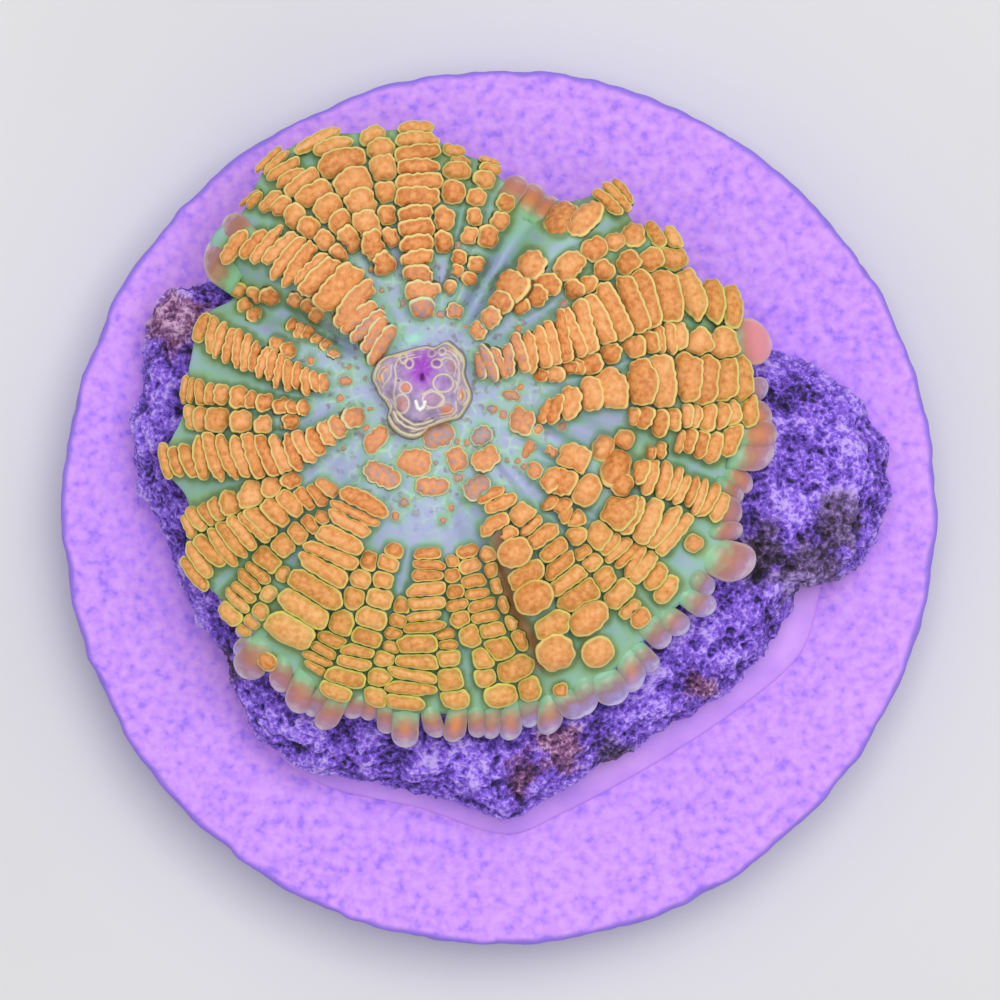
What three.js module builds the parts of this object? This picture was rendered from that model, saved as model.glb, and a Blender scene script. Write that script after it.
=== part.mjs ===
// Rhodactis mushroom coral, grown on a piece of reef rubble that is glued to a round ceramic frag disc.
// Millimetres, +Z up. The origin is the centre of the disc's underside.
// The polyp is one soft body: a foot, a short column, and a wide oral disc whose radial rows of lumps
// run from the raised mouth out to a scalloped margin.
import * as THREE from "three";
import { ImprovedNoise } from "three/addons/math/ImprovedNoise.js";

// Frag disc
const DISC_RADIUS = 25;
const DISC_HEIGHT = 6.5;
const DISC_CHAMFER = 0.7;
const DISC_SIDES = 64;

// Glue between the disc and the rock
const GLUE_TOP = DISC_HEIGHT + 0.4;
const GLUE_EDGE = DISC_HEIGHT + 0.2;
const GLUE_COLUMNS = 44;
const GLUE_CENTRE = new THREE.Vector2(0, -2);
// [share of the way from the glue's centre to its outline, height], from the underside up
const GLUE_RINGS = [
  [0, DISC_HEIGHT], [1, DISC_HEIGHT], [0.985, GLUE_EDGE], [0.92, GLUE_TOP], [0, GLUE_TOP],
];

// Rock
const ROCK_SEAT = 13;
const ROCK_SEAT_RADIUS = 9.4;
const ROCK_COLUMNS = 60;
const ROCK_LUMP = 0.8;
const ROCK_LUMP_SPACING = 3.4;
const ROCK_STEEP = 0.9;
// [share of the way from the seat to the outline, height], from the underside up
const ROCK_RINGS = [
  [0.94, GLUE_TOP], [0.99, 8.1], [1, 9.5], [0.97, 10.5],
  [0.88, 11.4], [0.7, 11.9], [0.48, 12.2], [0.24, 12.6],
];

// Polyp: the foot and column stand on the rock's seat, and the mouth lies off the column's centre
const COLUMN_CENTRE = new THREE.Vector2(-1.9, 3.7);
// [radius, height above the foot], from the foot up
const COLUMN_RINGS = [[9, 0], [7.6, 1], [8.1, 2.3]];
const MOUTH = new THREE.Vector2(-4.1, 7);
const ORAL_DISC = 16.9;

// Underside of the oral disc: [share of the margin's reach, depth below the top]
const UNDERSIDE_RINGS = [[0.8, 1.6], [0.95, 1.1]];
const MARGIN_THICKNESS = 0.9;
const MARGIN_ROUNDING = 0.1;
const MARGIN_LUMP = 0.35;

// Top of the oral disc, in rings from the margin to the mouth, with three columns of points to each row
const TOP_RINGS = 17;
const OUTER_RING = 0.965;
const INNER_RING = 0.21;
const COLUMNS_PER_ROW = 3;
const CREST_HALF_WIDTH = 0.22;
const GROOVE_TUCK = 0.03;
const LUMP_DIP = 0.42;
const ROW_START_BLEND = 0.7;
const DROOP_POWER = 4;
const FOLD_START = 0.15;
const FOLD_FULL = 0.6;
const FOLD_EASE = 0.5;

// Mouth cone: [share of its radius, share of its height], from the foot of the cone to the lip of the mouth
const CONE_HEIGHT = 3;
const CONE_RADIUS = 2.9;
const CONE_RINGS = [[1.12, 0.08], [1, 0.5], [0.82, 0.86], [0.48, 1], [0.18, 0.77]];
const MOUTH_DEPTH = 1;

// Outline of the rock from above, as corners in millimetres, anticlockwise from its right tip
const ROCK_OUTLINE = [
  [22, 2.8], [20.2, 5.8], [18.2, 7.7], [16.1, 8.5], [12.6, 10.2], [7.9, 12.5], [3.4, 14.1], [-1.7, 15],
  [-6.7, 15.4], [-11.2, 15], [-14.6, 13.7], [-16.9, 12.6], [-18.9, 12.1], [-19.8, 9.7], [-20.2, 6.6],
  [-20.6, 3.8], [-20.1, 1.3], [-19.1, -0.7], [-18.4, -3.2], [-17, -6.1], [-14.8, -10.3], [-13.8, -12.6],
  [-11.2, -14.5], [-5.6, -15.8], [-2.5, -16.5], [0.3, -17.5], [2.7, -16.4], [5.7, -14.5], [9.3, -12.5],
  [13, -10], [15.5, -7.5], [17, -4.8], [20.2, -3.1], [21.7, -0.3],
];

// Outline of the glue, hidden under the rock but squeezed out along the rock's lower edge
const GLUE_OUTLINE = [
  [17, 3], [12, 8], [2, 11.5], [-9, 12], [-15.5, 7], [-16.5, 0], [-14.6, -8], [-13.2, -13.2],
  [-10, -15.8], [-4.6, -17.1], [0.3, -18.6], [3.6, -17.4], [8.1, -15], [12.7, -12.1], [16.9, -8.6],
  [18.2, -5], [18.4, -1],
];

// Reach of the polyp's margin from the mouth: [angle, radius], in degrees and millimetres.
// The upper side is notched where the disc folds, and the lower side spreads over the rock.
const MARGIN = [
  [0, 18.2], [8, 18.8], [15, 17.8], [21, 16.4], [31, 16.2], [38, 15], [45, 15.3], [52, 13.1], [60, 12.7],
  [67, 12.2], [75, 13], [83, 13.3], [91, 14.3], [104, 14.7], [115, 15.4], [125, 15.4], [137, 14.3],
  [148, 14.5], [154.5, 12.1], [163, 13.2], [175, 13.5], [188, 14], [197, 15.6], [206, 15.2], [218, 17.1],
  [231, 17.8], [240, 19], [254, 20], [270, 20.2], [285, 20.5], [301, 20.9], [315, 20.3], [330, 20.6],
  [340, 19.2], [350, 19.7],
];

// How far the margin hangs below the oral disc, round the mouth: steep above, where it curls over
const DROOP = [
  [0, 2.9], [30, 3.4], [60, 3.4], [100, 3.7], [135, 3.4], [165, 2.9], [200, 2.9], [240, 3], [300, 3],
];

// How deep the margin is notched between its fingers, as a share of its reach
const FINGERS = [
  [0, 0.07], [25, 0.04], [90, 0.03], [160, 0.03], [215, 0.04], [240, 0.08], [300, 0.09], [340, 0.08],
];

// Folds in the oral disc: [angle, width, depth], in degrees and millimetres
const FOLDS = [[58, 7, 1.9], [154, 7, 1.7], [226, 5, 0.5], [287, 5, 0.7], [343, 5, 0.5]];

// Rows of lumps: [angle at the margin, angle at the mouth, first radius, height], in degrees and
// millimetres
const ROWS = [
  [1, -12, 6.4, 1.1], [7.5, 3, 6.4, 0.7], [15, 16, 3.3, 1.4], [25, 29, 9.4, 0.7],
  [31, 37, 6.4, 0.9], [44, 46, 3.8, 1], [54.5, 56, 11, 0.5], [65, 66, 4.5, 0.6],
  [73.5, 75, 5.3, 0.8], [82, 84, 7.7, 0.8], [92, 93, 3.6, 1.2], [102, 103, 8, 0.8],
  [113, 111, 8, 1], [124, 118, 8.6, 0.9], [133, 125, 8.5, 0.8], [146, 136, 3.3, 1.5],
  [156, 153, 6, 0.5], [165, 174, 5.5, 1.4], [181, 187, 6.6, 0.9], [189, 196, 8, 0.8],
  [198, 207, 5, 1.5], [210.5, 217, 9, 0.9], [219, 225, 7.7, 1], [229.5, 233, 9.2, 0.9],
  [240.5, 244, 5.2, 1.5], [248, 252, 10, 0.8], [254, 259, 9.2, 1], [260.5, 265, 12.2, 0.7],
  [267, 271, 9, 1.2], [275, 275, 13, 0.7], [280, 279, 10, 0.8], [285, 284, 9.5, 1],
  [290, 289.5, 10, 0.7], [296.5, 296, 6, 1.7], [304, 307, 5.4, 1.3], [312.5, 315, 9.4, 0.9],
  [319.5, 320.5, 11, 0.9], [328.5, 326, 7.2, 1.2], [337, 334, 5.6, 1.2], [348, 339.5, 12, 0.9],
  [354.5, 343.5, 11, 0.9],
];

// Lumps that have swollen into bulbs: [angle, radius, size, height], in degrees and millimetres
const BULBS = [
  [338, 11.2, 1.3, 1.1], [326, 10.7, 1, 0.7], [297.5, 10.7, 1, 0.6], [296.5, 13.4, 1, 0.6],
  [295.5, 16.7, 0.9, 0.5], [304.5, 16, 0.9, 0.5], [49, 8.7, 0.9, 0.5], [203, 10, 1.2, 0.4],
];

const UP = new THREE.Vector3(0, 0, 1);
const noise = new ImprovedNoise();

// A value that varies smoothly round the full circle through [angle, value] pairs
function roundTheCircle(pairs) {
  const wrapped = [-360, 0, 360].flatMap((turn) => pairs.map(([angle, value]) => [angle + turn, value]));
  const angles = Float32Array.from(wrapped, (pair) => pair[0]);
  const values = Float32Array.from(wrapped, (pair) => pair[1]);
  const interpolant = new THREE.CubicInterpolant(angles, values, 1);
  return (angle) => interpolant.evaluate(THREE.MathUtils.euclideanModulo(angle, 360))[0];
}

const marginReach = roundTheCircle(MARGIN);
const marginDroop = roundTheCircle(DROOP);
const marginNotch = roundTheCircle(FINGERS);

// A lathe whose rings run from the bottom of the axis to its top, with every point placed by a rule
function warpedLathe(rings, columns, place) {
  const upright = Array.from({ length: rings }, (_, ring) => new THREE.Vector2(1, ring));
  const geometry = new THREE.LatheGeometry(upright, columns);
  const position = geometry.getAttribute("position");
  for (let column = 0; column <= columns; column++) {
    for (let ring = 0; ring < rings; ring++) {
      const point = place(column % columns, ring);
      position.setXYZ(column * rings + ring, point.x, point.y, point.z);
    }
  }
  geometry.computeVertexNormals();
  return geometry;
}

function closedCurve(corners) {
  const points = corners.map(([x, y]) => new THREE.Vector3(x, y, 0));
  return new THREE.CatmullRomCurve3(points, true, "centripetal");
}

// A point on the way from a centre to an outline, at a share of the way and a height
function towards(centre, rim, share, z) {
  const x = THREE.MathUtils.lerp(centre.x, rim.x, share);
  const y = THREE.MathUtils.lerp(centre.y, rim.y, share);
  return new THREE.Vector3(x, y, z);
}

function onCircle(centre, radius, degrees, z) {
  const angle = THREE.MathUtils.degToRad(degrees);
  return new THREE.Vector3(centre.x + radius * Math.cos(angle), centre.y + radius * Math.sin(angle), z);
}

function makeMesh(name, geometry, colour, roughness) {
  const material = new THREE.MeshStandardMaterial({ color: colour, roughness, metalness: 0 });
  const mesh = new THREE.Mesh(geometry, material);
  mesh.name = name;
  return mesh;
}

// Pressed ceramic disc with a small chamfer on both edges
function fragDisc() {
  const inner = DISC_RADIUS - DISC_CHAMFER;
  const profile = [
    [0, 0], [inner, 0], [DISC_RADIUS, DISC_CHAMFER],
    [DISC_RADIUS, DISC_HEIGHT - DISC_CHAMFER], [inner, DISC_HEIGHT], [0, DISC_HEIGHT],
  ].map(([radius, z]) => new THREE.Vector2(radius, z));
  const geometry = new THREE.LatheGeometry(profile, DISC_SIDES);
  geometry.rotateX(Math.PI / 2);
  return makeMesh("frag_disc", geometry, 0xcc95fa, 0.8);
}

// Gel glue, a flat pad that thins out past the rock's edge
function glue() {
  const outline = closedCurve(GLUE_OUTLINE);
  const geometry = warpedLathe(GLUE_RINGS.length, GLUE_COLUMNS, (column, ring) => {
    const [share, z] = GLUE_RINGS[ring];
    return towards(GLUE_CENTRE, outline.getPointAt(column / GLUE_COLUMNS), share, z);
  });
  return makeMesh("glue", geometry, 0xbe8bfa, 0.4);
}

// Reef rubble: a flat cut underneath, craggy sides, and a level seat under the polyp's foot
function rock() {
  const outline = closedCurve(ROCK_OUTLINE);
  const seatRing = ROCK_RINGS.length + 1;
  const geometry = warpedLathe(seatRing + 2, ROCK_COLUMNS, (column, ring) => {
    if (ring === 0) return new THREE.Vector3(COLUMN_CENTRE.x, COLUMN_CENTRE.y, GLUE_TOP);
    if (ring > seatRing) return new THREE.Vector3(COLUMN_CENTRE.x, COLUMN_CENTRE.y, ROCK_SEAT);
    const rim = outline.getPointAt(column / ROCK_COLUMNS);
    const outward = new THREE.Vector2(rim.x, rim.y).sub(COLUMN_CENTRE).normalize();
    const seat = COLUMN_CENTRE.clone().addScaledVector(outward, ROCK_SEAT_RADIUS);
    if (ring === seatRing) return new THREE.Vector3(seat.x, seat.y, ROCK_SEAT);
    const [share, z] = ROCK_RINGS[ring - 1];
    const point = towards(seat, rim, share, z);
    if (ring === 1) return point;
    const at = point.clone().divideScalar(ROCK_LUMP_SPACING);
    const lump = ROCK_LUMP * noise.noise(at.x, at.y, at.z + ring);
    const way = share > ROCK_STEEP ? new THREE.Vector3(outward.x, outward.y, 0) : UP;
    return point.addScaledVector(way, lump);
  });
  return makeMesh("rock", geometry, 0x6d4fae, 0.9);
}

// Height of the bare oral disc at a share of the way from the mouth to the margin
function discHeight(angle, share) {
  const droop = marginDroop(angle) * share ** DROOP_POWER;
  const folds = FOLDS.reduce((sum, [middle, width, depth]) => {
    const off = (THREE.MathUtils.euclideanModulo(angle - middle + 180, 360) - 180) / width;
    return sum + depth * Math.exp(-off * off);
  }, 0);
  const foldShare = THREE.MathUtils.smoothstep(share, FOLD_START, FOLD_FULL) * (1 - FOLD_EASE * share ** 6);
  return ORAL_DISC - droop - folds * foldShare;
}

// How far the swollen bulbs lift the surface at a place on the oral disc
function bulbHeight(angle, radius) {
  return BULBS.reduce((sum, [middle, bulbRadius, size, height]) => {
    const across = THREE.MathUtils.degToRad(angle - middle) * bulbRadius;
    const off = ((radius - bulbRadius) ** 2 + across ** 2) / size ** 2;
    return sum + height * Math.exp(-off);
  }, 0);
}

// One column of points on the polyp: its row of lumps, and its angles at the margin and at the mouth.
// The first column of a row lies in the groove before it, and the other two on the two sides of its crest.
function rowColumn(column) {
  const index = Math.floor(column / COLUMNS_PER_ROW);
  const part = column % COLUMNS_PER_ROW;
  const row = ROWS[index];
  const before = ROWS.at(index - 1);
  const after = ROWS[(index + 1) % ROWS.length];
  const angleAt = (end) => {
    const back = THREE.MathUtils.euclideanModulo(row[end] - before[end], 360);
    const on = THREE.MathUtils.euclideanModulo(after[end] - row[end], 360);
    return row[end] + [-0.5 * back, -CREST_HALF_WIDTH * back, CREST_HALF_WIDTH * on][part];
  };
  return { index, row, inGroove: part === 0, atMargin: angleAt(0), atMouth: angleAt(1) };
}

// A point on the top of the oral disc, on its row's lumps or in the groove beside them
function topPoint({ index, row, inGroove, atMargin, atMouth }, step) {
  const [, , firstRadius, height] = row;
  const share = THREE.MathUtils.lerp(OUTER_RING, INNER_RING, step / (TOP_RINGS - 1));
  const angle = THREE.MathUtils.mapLinear(share, INNER_RING, 1, atMouth, atMargin);
  const radius = marginReach(angle) * share * (inGroove ? 1 - GROOVE_TUCK * share : 1);
  const onRow = THREE.MathUtils.smoothstep(radius - firstRadius, -ROW_START_BLEND, ROW_START_BLEND);
  const dip = (step + index) % 2 === 0 ? LUMP_DIP : 0;
  const lump = inGroove ? 0 : height * onRow * (1 - dip);
  return onCircle(MOUTH, radius, angle, discHeight(angle, share) + lump + bulbHeight(angle, radius));
}

// The points of one column of the polyp, from the middle of its foot to the floor of its mouth
function polypColumn(column) {
  const part = rowColumn(column);
  const { row, inGroove, atMargin, atMouth } = part;
  const reach = marginReach(atMargin) * (inGroove ? 1 - marginNotch(atMargin) : 1);
  const edge = discHeight(atMargin, 1) + (inGroove ? 0 : MARGIN_LUMP * row[3]);
  return [
    new THREE.Vector3(COLUMN_CENTRE.x, COLUMN_CENTRE.y, ROCK_SEAT),
    ...COLUMN_RINGS.map(([radius, rise]) => onCircle(COLUMN_CENTRE, radius, atMargin, ROCK_SEAT + rise)),
    ...UNDERSIDE_RINGS.map(([share, depth]) =>
      onCircle(MOUTH, reach * share, atMargin, discHeight(atMargin, share) - depth)),
    onCircle(MOUTH, reach, atMargin, edge - MARGIN_THICKNESS),
    onCircle(MOUTH, reach, atMargin, edge - MARGIN_ROUNDING),
    ...Array.from({ length: TOP_RINGS }, (_, step) => topPoint(part, step)),
    ...CONE_RINGS.map(([share, rise]) =>
      onCircle(MOUTH, share * CONE_RADIUS, atMouth, ORAL_DISC + rise * CONE_HEIGHT)),
    new THREE.Vector3(MOUTH.x, MOUTH.y, ORAL_DISC + CONE_HEIGHT - MOUTH_DEPTH),
  ];
}

// The soft body: foot, column, underside, scalloped margin, rows of lumps and the mouth cone
function polyp() {
  const columns = Array.from({ length: ROWS.length * COLUMNS_PER_ROW }, (_, column) => polypColumn(column));
  const geometry = warpedLathe(columns[0].length, columns.length, (column, ring) => columns[column][ring]);
  return makeMesh("coral_polyp", geometry, 0xe29a50, 0.45);
}

const coral = new THREE.Group();
coral.name = "rhodactis_mushroom_coral";
coral.add(fragDisc(), glue(), rock(), polyp());

export default coral;
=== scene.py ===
"""Rhodactis mushroom coral on a ceramic frag disc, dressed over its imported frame.

Lengths are millimetres until a mesh is made, and metres from there on. Angles are degrees about the
polyp's mouth, anticlockwise from +X as seen from above.
"""

import logging
import math
from collections.abc import Callable, Iterable, Sequence
from dataclasses import dataclass, field
from enum import Enum
from typing import Any

import bpy
import numpy as np
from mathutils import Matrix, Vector, noise


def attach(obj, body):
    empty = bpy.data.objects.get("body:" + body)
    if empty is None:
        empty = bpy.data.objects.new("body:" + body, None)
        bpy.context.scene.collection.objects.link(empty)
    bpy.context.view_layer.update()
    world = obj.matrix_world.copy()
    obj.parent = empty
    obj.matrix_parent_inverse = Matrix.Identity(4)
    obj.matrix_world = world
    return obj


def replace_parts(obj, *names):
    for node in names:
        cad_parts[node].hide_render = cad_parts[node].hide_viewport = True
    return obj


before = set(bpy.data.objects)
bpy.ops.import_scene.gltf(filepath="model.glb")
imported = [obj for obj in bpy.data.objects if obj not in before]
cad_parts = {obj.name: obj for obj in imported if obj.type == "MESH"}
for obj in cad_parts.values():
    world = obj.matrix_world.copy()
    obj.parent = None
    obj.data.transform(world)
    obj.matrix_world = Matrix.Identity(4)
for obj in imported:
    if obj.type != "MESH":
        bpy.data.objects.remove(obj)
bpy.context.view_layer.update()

LOG = logging.getLogger("mushroom_coral")
MM = 0.001
ROOT_BODY = "root"

Array = np.ndarray
Pairs = Sequence[tuple[float, float]]
Triples = Sequence[tuple[float, float, float]]
Ramp = Sequence[tuple[float, str]]
Curve = Callable[[Array], Array]


def linear(colour: str) -> tuple[float, float, float, float]:
    """Turns an sRGB hex colour into the linear one that the shaders take.

    Args:
        colour: Six hex digits after a hash sign.

    Returns:
        Linear red, green and blue, with full alpha.
    """
    parts = [int(colour[start : start + 2], 16) / 255 for start in (1, 3, 5)]
    red, green, blue = (
        part / 12.92 if part <= 0.04045 else ((part + 0.055) / 1.055) ** 2.4 for part in parts
    )
    return (red, green, blue, 1.0)


def add_node(
    tree: bpy.types.NodeTree,
    kind: str,
    inputs: dict[str | int, Any] | None = None,
    out: str | int = 0,
    **settings: Any,
) -> bpy.types.NodeSocket:
    """Adds one shader node with its settings and links.

    Args:
        tree: The node tree that the node joins.
        kind: The node's type name, after its shader prefix.
        inputs: What feeds each input, by name or number: another node's socket, a value, a hex colour, or
            the name of a value that the mesh carries at its points.
        out: The output wanted, by name or number.
        settings: Values for the node's own properties. stops holds a colour ramp's places and colours.

    Returns:
        The wanted output of the new node.
    """
    node = tree.nodes.new("ShaderNode" + kind)
    stops = settings.pop("stops", ())
    for name, value in settings.items():
        setattr(node, name, value)
    if stops:
        ramp = node.color_ramp.elements
        ramp.remove(ramp[1])
        ramp[0].position = stops[0][0]
        ramp[0].color = linear(stops[0][1])
        for place, colour in stops[1:]:
            ramp.new(place).color = linear(colour)
    for name, source in (inputs or {}).items():
        if isinstance(source, str) and source.startswith("#"):
            source = linear(source)
        elif isinstance(source, str):
            source = add_node(tree, "Attribute", out="Fac", attribute_name=source)
        if isinstance(source, bpy.types.NodeSocket):
            tree.links.new(source, node.inputs[name])
        else:
            node.inputs[name].default_value = source
    return node.outputs[out]


def round_the_circle(pairs: Pairs) -> Curve:
    """Makes a value that varies smoothly round the full circle.

    Args:
        pairs: Angles in rising order, each with its value.

    Returns:
        A function from angles to values.
    """
    angles = np.array([angle for angle, _ in pairs], float)
    values = np.array([value for _, value in pairs], float)
    knots = np.concatenate([angles - 360, angles, angles + 360])
    heights = np.tile(values, 3)
    slopes = np.gradient(heights, knots)

    def curve(angle: Array) -> Array:
        """Reads the curve.

        Args:
            angle: Angles in degrees.

        Returns:
            The value at each of them.
        """
        turned = np.mod(angle, 360)
        low = np.searchsorted(knots, turned, side="right") - 1
        span = knots[low + 1] - knots[low]
        part = (turned - knots[low]) / span
        start = heights[low] * (1 + 2 * part) + slopes[low] * span * part
        end = heights[low + 1] * (3 - 2 * part) - slopes[low + 1] * span * (1 - part)
        return start * (1 - part) ** 2 + end * part**2

    return curve


def smooth_step(low: float, high: float, value: Array) -> Array:
    """Eases from 0 at low to 1 at high.

    Args:
        low: Where the rise begins.
        high: Where it ends.
        value: The places to read.

    Returns:
        The eased share at each place.
    """
    part = np.clip((value - low) / (high - low), 0, 1)
    return part * part * (3 - 2 * part)


def bump(off: Array, width: float, power: int = 2) -> Array:
    """A rounded rise: 1 where off is 0, falling away over the width."""
    return np.exp(-((off / width) ** power))


def noise_at(points: Array, grain: float, octaves: int = 1) -> Array:
    """Reads smooth noise at many points.

    Args:
        points: Rows of x, y and z in millimetres.
        grain: Size of the noise's lumps in millimetres.
        octaves: How many finer layers are added, each half as large and half as strong.

    Returns:
        One value for each point, about -1 to 1.
    """
    values = np.zeros(len(points))
    for octave in range(octaves):
        scaled = points * (2**octave / grain) + 17.3 * octave
        values += np.array([noise.noise(Vector(point)) for point in scaled]) / 2**octave
    return values


def spaced(path: Array, count: int, closed: bool = True) -> Array:
    """Spreads points evenly along a path.

    Args:
        path: Rows of the path's corners. A closed one ends where it begins.
        count: Number of points wanted.
        closed: Whether the end is left off, since it is the start again.

    Returns:
        Rows of the points.
    """
    run = np.concatenate([[0], np.cumsum(np.linalg.norm(np.diff(path, axis=0), axis=1))])
    place = np.linspace(0, run[-1], count, endpoint=not closed)
    return np.stack([np.interp(place, run, column) for column in path.T], axis=-1)


def grid_faces(rings: int, columns: int) -> list[tuple[int, ...]]:
    """Makes the quads of a closed band of rings.

    Args:
        rings: Number of rings.
        columns: Points in each ring.

    Returns:
        Faces as point numbers, ring by ring.
    """
    faces = []
    for ring in range(rings - 1):
        low, high = ring * columns, (ring + 1) * columns
        for column in range(columns):
            after = (column + 1) % columns
            faces.append((low + column, low + after, high + after, high + column))
    return faces


def closed_faces(rings: int, columns: int) -> list[tuple[int, ...]]:
    """Makes a band of rings with a pole at each end, both stored after the rings.

    Args:
        rings: Number of rings between the poles.
        columns: Points in each ring.

    Returns:
        Faces as point numbers.
    """
    first_pole = rings * columns
    last_ring = (rings - 1) * columns
    faces = grid_faces(rings, columns)
    for column in range(columns):
        after = (column + 1) % columns
        faces.append((first_pole, after, column))
        faces.append((last_ring + column, last_ring + after, first_pole + 1))
    return faces


@dataclass
class MeshParts:
    """Closed bodies gathered into one mesh, with named values at their points for the finish to read."""

    points: list[Array] = field(default_factory=list)
    faces: list[tuple[int, ...]] = field(default_factory=list)
    values: dict[str, list[Array]] = field(default_factory=dict)
    count: int = 0

    def add(self, points: Array, faces: Iterable[tuple[int, ...]], **values: Array | float) -> None:
        """Adds one body.

        Args:
            points: Rows of x, y and z in millimetres.
            faces: Point numbers within this body.
            values: A value for each point, or one for them all, under each name.
        """
        self.points.append(points)
        self.faces.extend(tuple(corner + self.count for corner in face) for face in faces)
        for name, value in values.items():
            self.values.setdefault(name, []).append(np.broadcast_to(value, len(points)))
        self.count += len(points)

    def build(self, name: str, finish: "Finish", slot: str) -> bpy.types.Object:
        """Makes the mesh object, which rides on the root body.

        Args:
            name: Name of the piece.
            finish: Its surface finish.
            slot: The record's material slot that it stands for. It is not used.

        Returns:
            The new object.
        """
        mesh = bpy.data.meshes.new(name)
        mesh.from_pydata((np.concatenate(self.points) * MM).tolist(), [], self.faces)
        for label, values in self.values.items():
            layer = mesh.attributes.new(label, "FLOAT", "POINT")
            layer.data.foreach_set("value", np.concatenate(values).astype(np.float32))
        mesh.polygons.foreach_set("use_smooth", [True] * len(mesh.polygons))
        mesh.materials.append(finish.material())
        piece = bpy.data.objects.new(name, mesh)
        bpy.context.scene.collection.objects.link(piece)
        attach(piece, ROOT_BODY)
        triangles = sum(len(face) - 2 for face in self.faces)
        LOG.info("%s: %d bodies, %d triangles", name, len(self.points), triangles)
        return piece


def per_grain(size: float) -> float:
    """A pattern's scale from its grain in millimetres, for places in metres."""
    return 1 / (size * MM)


@dataclass(frozen=True)
class Finish:
    """A surface finish: its name, its gloss, its grain and the nodes that colour it.

    bloom and depth are the size and the depth in millimetres of the surface's finest relief.
    """

    name: str = "plain"
    roughness: float = 0.5
    ior: float = 1.45
    bloom: float = 0.4
    depth: float = 0.05
    relief: float = 0.6

    def material(self) -> bpy.types.Material:
        """Makes the material.

        Returns:
            A node material with its colour and relief linked in.
        """
        material = bpy.data.materials.new(self.name)
        material.use_nodes = True
        tree = material.node_tree
        shader = tree.nodes["Principled BSDF"]
        shader.inputs["Roughness"].default_value = self.roughness
        shader.inputs["IOR"].default_value = self.ior
        place = add_node(tree, "TexCoord", out="Object")
        tree.links.new(self.colour(tree, place), shader.inputs["Base Color"])
        height = add_node(tree, "TexNoise", {"Vector": place, "Scale": per_grain(self.bloom), "Detail": 2.0})
        raised = {"Height": height, "Strength": self.relief, "Distance": self.depth * MM}
        tree.links.new(add_node(tree, "Bump", raised), shader.inputs["Normal"])
        return material

    def colour(self, tree: bpy.types.NodeTree, place: bpy.types.NodeSocket) -> bpy.types.NodeSocket:
        """Adds the nodes that colour the surface.

        Args:
            tree: The material's nodes.
            place: The place on the piece, in metres.

        Returns:
            The colour.
        """
        raise NotImplementedError


@dataclass(frozen=True)
class GrownTissue(Finish):
    """Wet coral skin, grown: a milky film over green pigment.

    It looks blue-grey where it is bare, green towards the margin and beside lumps, and freckled near the
    mouth, where small lumps have sunk in and a pale net runs between them. It is darkened with painted shade
    in the narrow gaps beside lumps, and with a painted shadow along the overhang of the big row near 295
    degrees.
    """

    name: str = "coral_tissue_grown_wet"
    roughness: float = 0.45
    ior: float = 1.37
    bloom: float = 0.5
    depth: float = 0.06
    mottle: float = 1.3
    freckle: float = 0.55
    cell: float = 0.75
    skin: Ramp = ((0, "#abb4da"), (0.25, "#a3bccd"), (0.5, "#97c3b3"), (0.75, "#92bf97"), (1, "#98bb80"))

    def colour(self, tree: bpy.types.NodeTree, place: bpy.types.NodeSocket) -> bpy.types.NodeSocket:
        """Blue-grey to green by the green at each point, with freckles, a net, a mint streak, painted shade
        in the gaps beside lumps, and a painted shadow along the big row's overhang.

        Args:
            tree: The material's nodes.
            place: The place on the piece, in metres.

        Returns:
            The colour.
        """
        mottle = add_node(tree, "TexNoise", {"Vector": place, "Scale": per_grain(self.mottle), "Detail": 3.0})
        shift = add_node(tree, "Math", {0: mottle, 1: 0.5, 2: -0.25}, operation="MULTIPLY_ADD")
        spread = add_node(tree, "Math", {0: "green", 1: shift}, operation="ADD", use_clamp=True)
        colour = add_node(tree, "ValToRGB", {"Fac": spread}, stops=self.skin)
        grain = add_node(tree, "TexNoise", {"Vector": place, "Scale": per_grain(self.freckle), "Detail": 3.0})
        shown_grain = {"Value": grain, "From Min": 0.57, "From Max": 0.66, "To Min": 0.0, "To Max": 0.8}
        spot = add_node(tree, "MapRange", shown_grain)
        freckle = add_node(tree, "Math", {0: spot, 1: "inner"}, operation="MULTIPLY")
        cells = {"Vector": place, "Scale": per_grain(self.cell)}
        wall = add_node(tree, "TexVoronoi", cells, out="Distance", feature="DISTANCE_TO_EDGE")
        shown_wall = {"Value": wall, "From Min": 0.02, "From Max": 0.16, "To Min": 0.55, "To Max": 0.0}
        seam = add_node(tree, "MapRange", shown_wall)
        patchy = add_node(tree, "MapRange", {"Value": mottle, "From Min": 0.45, "From Max": 0.6})
        meshed = add_node(tree, "Math", {0: seam, 1: patchy}, operation="MULTIPLY")
        net = add_node(tree, "Math", {0: meshed, 1: "inner"}, operation="MULTIPLY")
        # shade is painted shade in the gaps beside lumps; brown is a painted shadow along the big row's
        # overhang
        marks = (
            (freckle, "#8c8088"), (net, "#bfe6c4"),
            ("mint", "#a4f0cf"), ("shade", "#4f5a34"), ("brown", "#a0643a"),
        )
        for amount, shown in marks:
            colour = add_node(tree, "MixRGB", {"Fac": amount, "Color1": colour, "Color2": shown})
        return colour

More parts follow.
